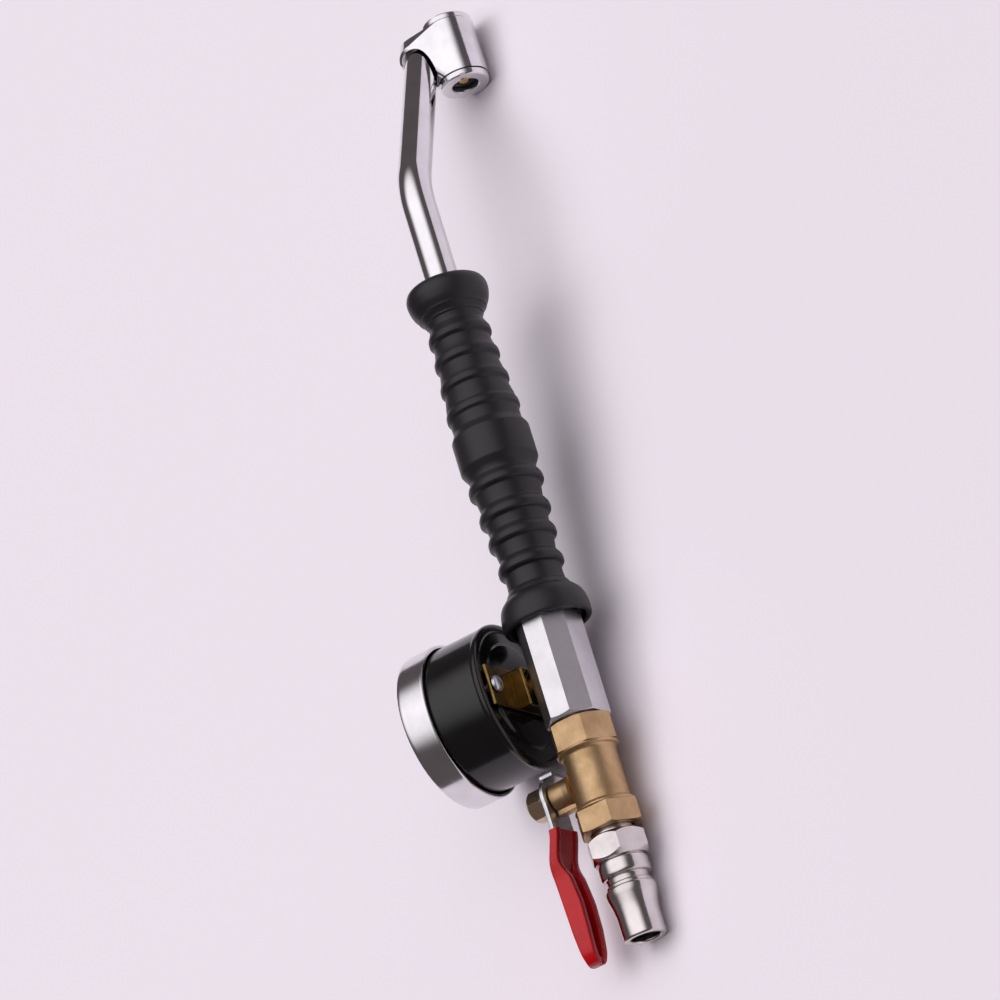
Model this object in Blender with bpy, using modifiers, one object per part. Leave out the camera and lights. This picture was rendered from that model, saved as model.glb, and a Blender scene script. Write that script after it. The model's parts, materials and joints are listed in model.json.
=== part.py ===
"""Tyre inflator with gauge, as a jointed assembly of separate named pieces.

All named dimensions are in millimetres and degrees; the helper functions convert them to metres.
The tool frame has X along the tool from the coupler plug's tip to the chuck, Y along the gauge's
dial and the valve's stem, and Z across them. The root empty turns that frame into the resting
pose, in which the coupler plug, the gauge's bezel and the chuck head touch the ground plane z = 0.
"""

import math

import bmesh
import bpy
from mathutils import Matrix, Vector

MM = 0.001
MERGE = 0.00001
FIT = 0.3               # clearance between neighbouring pieces
ASSEMBLY = "tyre_inflator"

# Resting pose of the tool frame.
REST_ROLL = 17.54       # about X: the dial is tipped up
REST_PITCH = 7.71       # about Y: the chuck end is raised

# Coupler plug: stations along the tool from the plug's tip.
PLUG_TIP_X = -0.4
NOSE_R = 6.15
NOSE_LIP_R = 5.7
SHOULDER_R = 7.2
STEP_R = 6.6
GROOVE_R = 6.0
COLLAR_R = 7.2
COLLAR_X = (17.9, 22.4)
PLUG_BORE_R = 4.3
PLUG_HEX_AF = 16.0
PLUG_HEX_X = (22.8, 30.2)
PIPE_THREAD_R = 6.0     # male thread envelope
PIPE_SOCKET_R = 6.3     # female thread envelope
PLUG_TAIL_X = 40.2

# Ball valve.
VALVE_X = (31.8, 64.8)
VALVE_HEX_AF = 17.0
VALVE_BODY_R = 7.75
BEAD_R = 9.1
LOWER_BEAD_X = (38.2, 39.8)
UPPER_BEAD_X = (55.0, 56.8)
STEM_X = 47.5
BALL_R = 4.5
BALL_BORE_R = 2.8
CHAMBER_R = 5.5
SEAT_OFFSET = (2.9, 4.9)
PORT_R = 3.0
BONNET_R = 4.2
BONNET_Y = 14.2
STEM_R = 2.3
LEVER_Y = 14.5          # inner face of the lever plate
LEVER_T = 1.3
LEVER_HEAD_R = 6.3
SLEEVE_GAP = 0.2
SLEEVE_T = 0.45
SLEEVE_START_X = 38.0
# Along the handle: station, rise of the inner face, half width and flange depth of the steel.
HANDLE = (
    (37.6, 0.0, 5.4, 0.12), (36.0, 0.35, 5.4, 0.12), (30.0, 2.6, 5.4, 0.2), (28.0, 3.2, 5.0, 0.7),
    (26.0, 3.5, 4.4, 1.6), (24.0, 3.5, 4.0, 2.4), (16.0, 3.2, 3.95, 3.0), (8.0, 2.9, 3.95, 2.5),
    (2.6, 2.6, 3.6, 1.7), (0.6, 2.45, 3.1, 1.4), (-0.7, 2.35, 2.3, 1.1))

# Manifold block: an eight-sided bar.
BLOCK_X = (65.3, 97.5)
BLOCK_ACROSS_Y = 16.0
BLOCK_ACROSS_Z = 20.0
BLOCK_CORNER = 4.8
NIPPLE_X = 58.2
PASSAGE_R = 3.0

# Gauge.
GAUGE_X = 80.0
CASE_R = 22.3
CASE_Y = (14.8, 37.1)
CASE_WALL = 1.0
BEZEL_R = 23.8
BEZEL_Y = (32.8, 42.1)
WINDOW_R = 20.6
LENS_Y = (38.6, 40.2)
DIAL_Y = 29.6
DIAL_R = 20.4
SOCKET_SQUARE = 12.0
MOUNT_SCREW_Z = 17.0
LEG_Z = 9.8
GEAR_MODULE = 0.5
PINION_TEETH = 8
SECTOR_TEETH = 48       # teeth of the full wheel that the sector is cut from
GEAR_Y = (24.6, 26.2)
REAR_PLATE_Y = (22.4, 23.4)
FRONT_PLATE_Y = (27.6, 28.5)
MOVEMENT_TURN = 50.0    # turns the sector's side of the movement towards the Bourdon tube's tip
SECTOR_SWEEP = 45.0
POINTER_REST = 45.0     # direction of the pointer at zero pressure, about the gauge axis
TAIL = (-3.06, -2.57)   # link pin on the sector
BOURDON_R = 16.4
BOURDON_SPAN = (181.0, -70.0)

# Grip.
GRIP_X = (95.5, 206.0)
GRIP_BORE_R = 5.45
RIB_HALF = 2.6          # half the length of a rib's raised part

# Tube.
TUBE_R = 5.1
TUBE_WALL = 1.3
TUBE_START_X = 88.0
BEND_X = 239.6
BEND_ANGLE = 30.0
BEND_RADIUS = 26.0
TUBE_END = 66.7         # distance from the bend's corner to the tube's upper end
SOCKET_FACE = 63.2      # distance from the bend's corner to the head's socket face

# Chuck head: positions along its own axis are measured from its middle.
HEAD_AT = (292.1, -10.1, -35.0)
HEAD_R = 8.05
HEAD_HALF = 9.0
RING_R = 7.75
RING_FACE = 11.3
MOUTH_R = 4.1
SEAL_R = 5.5
TUBE_SOCKET_R = 6.8
PIN_R = 1.7
RELIEF_R = 6.0          # clearance round the tube below its socket
PLUNGER_R = 2.7

COLOURS = {
    "chrome": ((0.78, 0.78, 0.80), 1.0, 0.12),
    "satin_steel": ((0.62, 0.62, 0.64), 1.0, 0.32),
    "nickel": ((0.66, 0.64, 0.62), 1.0, 0.20),
    "forged_brass": ((0.58, 0.38, 0.18), 1.0, 0.42),
    "turned_brass": ((0.66, 0.46, 0.20), 1.0, 0.25),
    "zinc_steel": ((0.60, 0.61, 0.63), 1.0, 0.35),
    "black_rubber": ((0.018, 0.017, 0.019), 0.0, 0.62),
    "seal_rubber": ((0.012, 0.012, 0.012), 0.0, 0.55),
    "black_enamel": ((0.012, 0.012, 0.014), 0.0, 0.22),
    "red_vinyl": ((0.55, 0.012, 0.020), 0.0, 0.25),
    "clear_lens": ((0.90, 0.92, 0.92), 0.0, 0.05),
    "white_dial": ((0.86, 0.86, 0.84), 0.0, 0.45),
    "pointer_black": ((0.02, 0.02, 0.02), 0.0, 0.40),
    "ptfe": ((0.85, 0.85, 0.83), 0.0, 0.45),
    "spring_steel": ((0.50, 0.50, 0.52), 1.0, 0.28),
}


# ---------------------------------------------------------------- scene and materials

def clear_scene():
    for item in list(bpy.data.objects):
        bpy.data.objects.remove(item, do_unlink=True)


def new_collection(name):
    group = bpy.data.collections.new(name)
    bpy.context.scene.collection.children.link(group)
    return group


clear_scene()
PARTS = new_collection(ASSEMBLY)
HELPERS = new_collection("cutters")


def material(slot):
    found = bpy.data.materials.get(slot)
    if found:
        return found
    colour, metallic, roughness = COLOURS[slot]
    made = bpy.data.materials.new(slot)
    made.use_nodes = True
    shader = made.node_tree.nodes["Principled BSDF"]
    shader.inputs["Base Color"].default_value = (*colour, 1.0)
    shader.inputs["Metallic"].default_value = metallic
    shader.inputs["Roughness"].default_value = roughness
    return made


def place(item, parent, at=(0, 0, 0), turn=(0, 0, 0)):
    item.parent = parent
    item.location = [value * MM for value in at]
    item.rotation_euler = [math.radians(value) for value in turn]
    return item


def axis_empty(name, parent, at=(0, 0, 0), turn=(0, 0, 0)):
    """An empty whose local Z is the axis that its pieces are built along."""
    marker = bpy.data.objects.new(name, None)
    marker.empty_display_size = 0.01
    PARTS.objects.link(marker)
    return place(marker, parent, at, turn)


def as_part(item, slot):
    item.data.materials.clear()
    item.data.materials.append(material(slot))
    PARTS.objects.link(item)
    return item


def as_helper(item):
    HELPERS.objects.link(item)
    item.hide_render = True
    item.display_type = "WIRE"
    return item


# ---------------------------------------------------------------- shapes

def turned(name, outline, parent, slot=None, steps=32, at=(0, 0, 0), turn=(0, 0, 0)):
    """A turned piece. outline holds (radius, height) pairs that run down the outer side.

    An outline that starts and ends on the axis makes a solid; any other is closed into a ring.
    """
    mesh = bpy.data.meshes.new(name)
    count = len(outline)
    on_axis = outline[0][0] == 0 and outline[-1][0] == 0
    points = [(radius * MM, 0.0, height * MM) for radius, height in outline]
    edges = [(i, i + 1) for i in range(count - 1)]
    if not on_axis:
        edges.append((count - 1, 0))
    mesh.from_pydata(points, edges, [])
    item = bpy.data.objects.new(name, mesh)
    screw = item.modifiers.new("turn", "SCREW")
    screw.steps = steps
    screw.render_steps = steps
    screw.use_merge_vertices = True
    screw.merge_threshold = MERGE
    screw.use_smooth_shade = True
    item = as_part(item, slot) if slot else as_helper(item)
    return place(item, parent, at, turn)


def from_bmesh(name, shape, parent, slot=None, at=(0, 0, 0), turn=(0, 0, 0)):
    mesh = bpy.data.meshes.new(name)
    shape.to_mesh(mesh)
    shape.free()
    item = bpy.data.objects.new(name, mesh)
    item = as_part(item, slot) if slot else as_helper(item)
    return place(item, parent, at, turn)


def rod(name, radius, low, high, parent, slot=None, steps=24, at=(0, 0, 0), turn=(0, 0, 0)):
    """A plain cylinder along local Z."""
    shape = bmesh.new()
    bmesh.ops.create_cone(
        shape, cap_ends=True, segments=steps, radius1=radius * MM, radius2=radius * MM,
        depth=(high - low) * MM, matrix=Matrix.Translation((0, 0, (low + high) / 2 * MM)))
    return from_bmesh(name, shape, parent, slot, at, turn)


def box(name, size, centre, parent, slot=None, chamfer=0.0, long_axis=None, at=(0, 0, 0),
        turn=(0, 0, 0)):
    """A box; chamfer cuts its corners, or only the edges along long_axis when that is given."""
    shape = bmesh.new()
    bmesh.ops.create_cube(shape, size=1.0)
    bmesh.ops.scale(shape, vec=[value * MM for value in size], verts=shape.verts)
    if chamfer:
        chosen = list(shape.edges)
        if long_axis is not None:
            chosen = []
            for edge in shape.edges:
                run = edge.verts[0].co - edge.verts[1].co
                if abs(run[long_axis]) > 0.5 * run.length:
                    chosen.append(edge)
        bmesh.ops.bevel(shape, geom=chosen, offset=chamfer * MM, segments=1, affect="EDGES")
    bmesh.ops.translate(shape, vec=[value * MM for value in centre], verts=shape.verts)
    return from_bmesh(name, shape, parent, slot, at, turn)


def hexagon(name, across_flats, low, high, corner, parent, inset=0.0):
    """A hexagonal bar along local Z with turned corners, one corner towards local Y."""
    reach = across_flats / math.sqrt(3)
    end = across_flats / 2 - inset
    blank = turned(name + "_blank", [(0, high), (end, high), (reach + 0.05, high - corner),
                                     (reach + 0.05, low + corner), (end, low), (0, low)],
                   parent, steps=48)
    bar = rod(name, reach, low, high, parent, steps=6)
    boolean(bar, blank, "INTERSECT")
    return bar


def boolean(item, other, operation):
    cut = item.modifiers.new(operation.lower(), "BOOLEAN")
    cut.operation = operation
    cut.solver = "EXACT"
    cut.object = other
    return item


def cut(item, *others):
    for other in others:
        boolean(item, other, "DIFFERENCE")
    return item


def fuse(item, *others):
    for other in others:
        boolean(item, other, "UNION")
    return item


def plate(name, outline, low, high, parent, slot=None, at=(0, 0, 0), turn=(0, 0, 0)):
    """A flat outline of (x, y) points, extruded from low to high along local Z."""
    shape = bmesh.new()
    corners = [shape.verts.new((x * MM, y * MM, low * MM)) for x, y in outline]
    face = shape.faces.new(corners)
    grown = bmesh.ops.extrude_face_region(shape, geom=[face])
    moved = [element for element in grown["geom"] if isinstance(element, bmesh.types.BMVert)]
    bmesh.ops.translate(shape, vec=(0, 0, (high - low) * MM), verts=moved)
    bmesh.ops.recalc_face_normals(shape, faces=shape.faces)
    return from_bmesh(name, shape, parent, slot, at, turn)


def loft(name, sections, parent, slot=None):
    """A closed skin through equal-sized rings of (x, y, z) points."""
    shape = bmesh.new()
    rings = [[shape.verts.new([value * MM for value in point]) for point in section] for section in sections]
    for first, second in zip(rings, rings[1:]):
        for i in range(len(first)):
            j = (i + 1) % len(first)
            shape.faces.new((first[i], first[j], second[j], second[i]))
    shape.faces.new(rings[0])
    shape.faces.new(rings[-1])
    bmesh.ops.recalc_face_normals(shape, faces=shape.faces)
    return from_bmesh(name, shape, parent, slot)


def arc(centre, radius, start, end, count):
    """Points on an arc, in degrees, both ends included."""
    found = []
    for i in range(count):
        angle = math.radians(start + (end - start) * i / (count - 1))
        found.append((centre[0] + radius * math.cos(angle), centre[1] + radius * math.sin(angle)))
    return found


def wire(name, points, radius, parent, slot, resolution=2, caps=True, at=(0, 0, 0), turn=(0, 0, 0)):
    """A round bar or tube along points, as a poly curve."""
    curve = bpy.data.curves.new(name, "CURVE")
    curve.dimensions = "3D"
    curve.bevel_depth = radius * MM
    curve.bevel_resolution = resolution
    curve.use_fill_caps = caps
    spline = curve.splines.new("POLY")
    spline.points.add(len(points) - 1)
    for knot, point in zip(spline.points, points):
        knot.co = (*[value * MM for value in point], 1.0)
    item = bpy.data.objects.new(name, curve)
    item = as_part(item, slot) if slot else as_helper(item)
    return place(item, parent, at, turn)


# ---------------------------------------------------------------- axes

ROOT = axis_empty("root_frame", None)
ROOT.rotation_euler = (math.radians(REST_ROLL), -math.radians(REST_PITCH), 0.0)
LINE = axis_empty("line_axis", ROOT, turn=(0, 90, 0))
STEM = axis_empty("stem_axis", ROOT, at=(STEM_X, 0, 0), turn=(-90, 0, 0))
GAUGE = axis_empty("gauge_axis", ROOT, at=(GAUGE_X, 0, 0), turn=(-90, 0, 0))
HEAD = axis_empty("head_axis", ROOT, at=HEAD_AT, turn=(0, 90, 0))
UPPER = axis_empty("upper_tube_axis", ROOT, at=(BEND_X, 0, 0), turn=(0, 90 + BEND_ANGLE, 0))


# ---------------------------------------------------------------- coupler plug and ball valve

def build_plug():
    low, high = PLUG_HEX_X
    core = PLUG_HEX_AF / 2 - 0.8
    collar_low, collar_high = COLLAR_X
    flare = [(SHOULDER_R - 0.55, 11.2), (NOSE_R + 0.3, 9.2), (NOSE_R + 0.05, 7.0)]
    tip = [(NOSE_R, PLUG_TIP_X + 0.6), (NOSE_LIP_R, PLUG_TIP_X), (PLUG_BORE_R + 0.4, PLUG_TIP_X),
           (PLUG_BORE_R, PLUG_TIP_X + 0.5)]
    outline = [(PLUG_BORE_R, PLUG_TAIL_X), (PIPE_THREAD_R - 0.5, PLUG_TAIL_X),
               (PIPE_THREAD_R, PLUG_TAIL_X - 0.7), (PIPE_THREAD_R, high - 0.4), (core, high - 0.4),
               (core, low + 0.4), (COLLAR_R - 0.6, low + 0.2), (COLLAR_R - 0.6, collar_high + 0.1),
               (COLLAR_R, collar_high - 0.2), (COLLAR_R, collar_low + 0.2), (COLLAR_R - 0.3, collar_low),
               (GROOVE_R, collar_low - 0.2), (GROOVE_R, 15.8), (STEP_R, 15.6), (STEP_R, 14.7),
               (SHOULDER_R, 14.4), (SHOULDER_R, 12.6), *flare, *tip]
    plug = turned("coupler_plug", outline, LINE, "nickel", steps=30)
    hex_bar = hexagon("plug_hex", PLUG_HEX_AF, low, high, 1.5, LINE, inset=0.45)
    bore = rod("plug_hex_bore", PLUG_BORE_R + 0.4, low - 1, high + 1, LINE, steps=36)
    fuse(plug, cut(hex_bar, bore))


def build_valve_body():
    low, high = VALVE_X
    core = VALVE_HEX_AF / 2 - 0.3
    upper = [(core, UPPER_BEAD_X[1]), (BEAD_R - 0.15, UPPER_BEAD_X[1] - 0.3), (BEAD_R, UPPER_BEAD_X[1] - 0.7),
             (BEAD_R - 0.3, UPPER_BEAD_X[0] + 0.6), (VALVE_BODY_R, UPPER_BEAD_X[0])]
    lower = [(VALVE_BODY_R, LOWER_BEAD_X[1]), (BEAD_R - 0.65, LOWER_BEAD_X[1] - 0.5),
             (BEAD_R - 0.35, LOWER_BEAD_X[0] + 0.7), (BEAD_R - 0.5, LOWER_BEAD_X[0] + 0.25), (core, LOWER_BEAD_X[0])]
    shoulder = STEM_X + SEAT_OFFSET[1] + FIT
    outline = [(PIPE_SOCKET_R, high - 0.4), (core, high - 0.4), *upper, *lower, (core, low + 0.4),
               (PIPE_SOCKET_R, low + 0.4), (PIPE_SOCKET_R, 40.6), (CHAMBER_R, 40.6), (CHAMBER_R, shoulder),
               (PORT_R, shoulder), (PORT_R, 56.6), (PIPE_SOCKET_R, 57.2)]
    body = turned("valve_body", outline, LINE, "forged_brass", steps=24)
    for name, span in (("lower_hex", (low, LOWER_BEAD_X[0] + 0.2)), ("upper_hex", (UPPER_BEAD_X[1] - 0.2, high))):
        bar = hexagon(name, VALVE_HEX_AF, *span, 0.35, LINE)
        fuse(body, cut(bar, rod(name + "_bore", PIPE_SOCKET_R + 0.1, span[0] - 1, span[1] + 1, LINE, steps=24)))
    bonnet = rod("bonnet", BONNET_R, CHAMBER_R + 0.6, BONNET_Y, STEM, steps=28)
    lug = box("stop_lug", (2.4, 3.4, BONNET_Y - 7.05), (-BONNET_R - 0.3, 0, BONNET_Y / 2 + 3.5), STEM)
    bore = turned("bonnet_bore", [(0, BONNET_Y + 1), (STEM_R + FIT, BONNET_Y + 1), (STEM_R + FIT, 12.0),
                                  (3.1, 12.0), (3.1, 9.2), (STEM_R + FIT, 9.2), (STEM_R + FIT, 3.0), (0, 3.0)],
                  STEM, steps=24)
    cut(fuse(body, bonnet, lug), bore)


def build_valve_inside():
    turned("valve_seat_retainer", [(PORT_R, 42.3), (CHAMBER_R - FIT, 42.3), (CHAMBER_R - FIT, 40.9), (PORT_R, 40.9)],
           LINE, "turned_brass", steps=24)
    for name, side in (("ball_seat_lower", -1), ("ball_seat_upper", 1)):
        near, far = SEAT_OFFSET
        seat = [(PORT_R, far), (CHAMBER_R - FIT, far), (CHAMBER_R - FIT, near), (3.75, near), (PORT_R, near + 0.9)]
        turn = (0, 90, 0) if side > 0 else (0, -90, 0)
        turned(name, seat, ROOT, "ptfe", steps=28, at=(STEM_X, 0, 0), turn=turn)
    shape = bmesh.new()
    bmesh.ops.create_uvsphere(shape, u_segments=20, v_segments=12, radius=BALL_R * MM)
    ball = from_bmesh("valve_ball", shape, STEM, "chrome")
    waterway = rod("ball_bore", BALL_BORE_R, -6, 6, STEM, steps=24, turn=(0, 90, 0))
    slot = box("ball_slot", (10, 1.8, 2.4), (0, 0, BALL_R), STEM)
    cut(ball, waterway, slot)
    stem = turned("valve_stem", [(0, 22.6), (1.6, 22.6), (1.9, 22.2), (1.9, LEVER_Y - 0.2), (STEM_R, LEVER_Y - 0.4),
                                 (STEM_R, 11.6), (1.7, 11.6), (1.7, 9.6), (STEM_R, 9.6), (STEM_R, 4.6), (0, 4.6)],
                  STEM, "turned_brass", steps=20)
    fuse(stem, box("stem_tang", (4.0, 1.2, 1.6), (0, 0, 4.3), STEM))
    ring = [(2.42 + 0.5 * math.cos(a), 10.6 + 0.5 * math.sin(a))
            for a in (math.radians(-45 * i) for i in range(8))]
    turned("stem_o_ring", ring, STEM, "seal_rubber", steps=20)


def lever_section(inner, outer, half, flange, wall):
    """Section of the lever across its length: a channel whose flanges point to the valve."""
    return [(-half, outer), (half, outer), (half, inner - flange), (half - wall, inner - flange),
            (half - wall, inner), (-half + wall, inner), (-half + wall, inner - flange), (-half, inner - flange)]


def handle_stations(grow, low, high):
    """Stations of the handle, grown by a thickness all round: x, inner y, outer y and sizes."""
    rows = [(high, *HANDLE[0][1:]), *HANDLE[1:-1], (low, *HANDLE[-1][1:])]
    stations = []
    for i, (x, rise, half, flange) in enumerate(rows):
        closing = {len(rows) - 2: 0.8, len(rows) - 1: half - LEVER_T - 0.35}.get(i, 0.0)
        inner = LEVER_Y + rise - grow
        wall = LEVER_T + 2 * grow
        side = min(wall + closing, half + grow - 0.1)
        sizes = (inner, inner + wall, half + grow, flange, side)
        stations.append((x - STEM_X, sizes))
    return stations


def swept_lever(name, stations, slot):
    sections = []
    for x, sizes in stations:
        sections.append([(x, y, z) for z, y in lever_section(*sizes)])
    return loft(name, sections, LEVER, slot)


def build_lever():
    tip = HANDLE[-1][0]
    lever = swept_lever("valve_lever", handle_stations(0.0, tip, HANDLE[0][0] + 2.0), "zinc_steel")
    half = HANDLE[0][2] + 0.35
    head = [(-9.6, -half + 0.2), *arc((0, 0), LEVER_HEAD_R, -100, 100, 17), (-9.6, half - 0.2)]
    disc = plate("lever_head", head, LEVER_Y, LEVER_Y + LEVER_T, STEM)
    tab = box("lever_tab", (1.3, 7.0, 4.4), (LEVER_HEAD_R, 0, LEVER_Y + LEVER_T - 2.25), STEM)
    hole = rod("lever_hole", 1.9 + FIT, LEVER_Y - 2, LEVER_Y + 4, STEM, steps=20)
    cut(fuse(lever, disc, tab), hole)
    grown = SLEEVE_GAP + SLEEVE_T
    sleeve = swept_lever("lever_sleeve", handle_stations(grown, tip - grown - 0.6, SLEEVE_START_X - 0.5), "red_vinyl")
    core = swept_lever("sleeve_hollow", handle_stations(SLEEVE_GAP, tip - SLEEVE_GAP, SLEEVE_START_X + 3), None)
    cut(sleeve, core)
    nut = hexagon("lever_nut_bar", 8.3, LEVER_Y + LEVER_T + FIT, 21.9, 1.1, STEM, inset=0.3)
    HELPERS.objects.unlink(nut)
    nut.name = "lever_nut"
    nut.hide_render = False
    nut.display_type = "TEXTURED"
    as_part(nut, "turned_brass")
    cut(nut, rod("nut_bore", 1.9 + FIT / 2, 15, 25, STEM, steps=20))


# ---------------------------------------------------------------- manifold block, tube and grip

def build_block():
    low, high = BLOCK_X
    length = high - low
    block = box("manifold_block", (BLOCK_ACROSS_Z, BLOCK_ACROSS_Y, length), (0, 0, (low + high) / 2), LINE,
                "satin_steel", chamfer=BLOCK_CORNER, long_axis=2)
    blank = turned("block_blank", [(0, high + 1), (9.0, high + 1), (9.0, high), (10.7, high - 1.4),
                                   (10.7, low + 1.2), (9.2, low), (9.2, low - 1), (0, low - 1)], LINE, steps=48)
    boolean(block, blank, "INTERSECT")
    nipple = rod("block_nipple", PIPE_THREAD_R, NIPPLE_X, low + 1, LINE, steps=32)
    bore = turned("block_bore", [(0, high + 1), (TUBE_R + FIT, high + 1), (TUBE_R + FIT, TUBE_START_X - 0.4),
                                 (PASSAGE_R, TUBE_START_X - 0.4), (PASSAGE_R, NIPPLE_X - 1), (0, NIPPLE_X - 1)],
                  LINE, steps=32)
    port = turned("gauge_port", [(0, BLOCK_ACROSS_Y), (4.9, BLOCK_ACROSS_Y), (4.9, 3.6), (1.4, 3.6), (1.4, 0), (0, 0)],
                  GAUGE, steps=24)
    cut(fuse(block, nipple), bore, port)


def tube_points():
    """The tube's centre line in the tool frame: straight, one round bend, straight."""
    reach = BEND_RADIUS * math.tan(math.radians(BEND_ANGLE / 2))
    points = [(TUBE_START_X, 0, 0)]
    count = 8
    for i in range(count + 1):
        angle = math.radians(BEND_ANGLE * i / count)
        points.append((BEND_X - reach + BEND_RADIUS * math.sin(angle), 0,
                       -BEND_RADIUS * (1 - math.cos(angle))))
    tilt = math.radians(BEND_ANGLE)
    points.append((BEND_X + TUBE_END * math.cos(tilt), 0, -TUBE_END * math.sin(tilt)))
    return points


def build_tube():
    tube = wire("bent_tube", tube_points(), TUBE_R, ROOT, "chrome", resolution=6, caps=False)
    wall = tube.modifiers.new("wall", "SOLIDIFY")
    wall.thickness = TUBE_WALL * MM
    wall.offset = -1.0


def grip_outline():
    """(radius, station) pairs down the outside of the grip, from the chuck end to the block end."""
    flange = [(9.5, 206.0), (11.6, 205.4), (12.35, 203.6), (12.3, 201.4), (11.6, 198.9), (10.0, 196.6),
              (8.7, 194.8), (8.1, 192.9)]
    ribs_high = [(188.7, 9.45), (181.0, 9.8), (172.8, 10.3), (163.9, 10.95)]
    ribs_low = [(139.6, 11.15), (130.3, 10.6), (122.6, 10.1), (113.7, 9.7)]
    valleys = [8.35, 8.85, 9.45, 10.3, 10.3, 9.85, 9.25, 8.85, 8.3]
    outline = list(flange)
    for (station, radius), valley in zip(ribs_high, valleys[:4]):
        outline += rib(station, radius, valley)
    outline += [(valleys[4] - 0.1, 159.0), (11.45, 156.6), (11.65, 155.6), (11.65, 147.2), (11.45, 146.2),
                (valleys[4], 144.4)]
    for (station, radius), valley in zip(ribs_low, valleys[5:]):
        outline += rib(station, radius, valley)
    outline += [(8.35, 110.0), (8.5, 107.2), (9.4, 106.0), (10.3, 104.9), (12.0, 103.2), (12.75, 101.2),
                (13.1, 98.4), (12.9, 96.0), (12.4, GRIP_X[0])]
    return outline


def rib(station, radius, valley):
    """One raised ring: a steep lower side and an easy upper side."""
    return [(valley, station + RIB_HALF + 0.9), (radius, station + 1.1), (radius, station - 0.9),
            (valley, station - RIB_HALF)]


def build_grip():
    skirt = [(11.3, GRIP_X[0]), (11.3, BLOCK_X[1] + 0.6), (GRIP_BORE_R, BLOCK_X[1] + 0.6)]
    outline = [(GRIP_BORE_R, GRIP_X[1]), *grip_outline(), *skirt]
    turned("rubber_grip", outline, LINE, "black_rubber", steps=24)


# ---------------------------------------------------------------- gauge

def build_gauge_shell():
    back, front = CASE_Y
    inner = CASE_R - CASE_WALL
    case = turned("gauge_case",
                  [(inner, front), (CASE_R, front), (CASE_R, back + 2.0), (CASE_R + 0.25, back + 1.4),
                   (CASE_R + 0.1, back + 0.6), (CASE_R - 0.7, back + 0.1), (CASE_R - 2.0, back + 0.1),
                   (CASE_R - 2.6, back + 0.7), (CASE_R - 6.4, back + 0.7), (CASE_R - 7.0, back), (5.4, back),
                   (5.4, back + CASE_WALL), (CASE_R - 7.4, back + CASE_WALL),
                   (CASE_R - 6.8, back + CASE_WALL + 0.7), (inner - 1.5, back + CASE_WALL + 0.7),
                   (inner, back + CASE_WALL + 1.7)],
                  GAUGE, "black_enamel", steps=48)
    for side in (-1, 1):
        cut(case, hole_at(f"case_screw_hole_{side}", 1.6, back - 1, back + 3, (0, side * MOUNT_SCREW_Z)))
    rear, face = BEZEL_Y
    wall = 1.05
    turned("gauge_bezel",
           [(WINDOW_R, face - 0.5), (WINDOW_R + 0.5, face), (BEZEL_R - 1.0, face), (BEZEL_R - 0.2, face - 0.4),
            (BEZEL_R, face - 1.1), (BEZEL_R, rear + 0.3), (BEZEL_R - 0.2, rear), (BEZEL_R - wall, rear),
            (BEZEL_R - wall, LENS_Y[1] + FIT), (WINDOW_R, LENS_Y[1] + FIT)],
           GAUGE, "chrome", steps=48)
    turned("gauge_lens", [(0, LENS_Y[1]), (CASE_R, LENS_Y[1]), (CASE_R, LENS_Y[0]), (0, LENS_Y[0])],
           GAUGE, "clear_lens", steps=48)
    turned("lens_gasket", [(WINDOW_R, LENS_Y[0] - FIT), (CASE_R, LENS_Y[0] - FIT), (CASE_R, front + FIT),
                           (WINDOW_R, front + FIT)], GAUGE, "seal_rubber", steps=40)


def hole_at(name, radius, low, high, centre, steps=16):
    """A cutter along the gauge axis, at a point (x, y) across it."""
    return rod(name, radius, low, high, GAUGE, steps=steps, at=(*centre, 0))


def gauge_screw(name, centre, head_r, head, shank_r, tip, turn=0.0):
    """A slotted screw along the gauge axis; head and tip are heights, either way round."""
    low, high = head
    if tip > high:
        profile = [(0, tip), (shank_r, tip), (shank_r, high), (head_r, high), (head_r, low + 0.3),
                   (head_r - 0.25, low), (0, low)]
        face = low
    else:
        profile = [(0, high), (head_r - 0.25, high), (head_r, high - 0.3), (head_r, low), (shank_r, low),
                   (shank_r, tip), (0, tip)]
        face = high
    place_at = (*centre, 0)
    screw = turned(name, profile, GAUGE, "zinc_steel", steps=20, at=place_at, turn=(0, 0, turn))
    groove = box(name + "_slot", (head_r * 3, 0.7, 1.0), (0, 0, face), GAUGE, at=place_at, turn=(0, 0, turn))
    cut(screw, groove)


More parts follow.
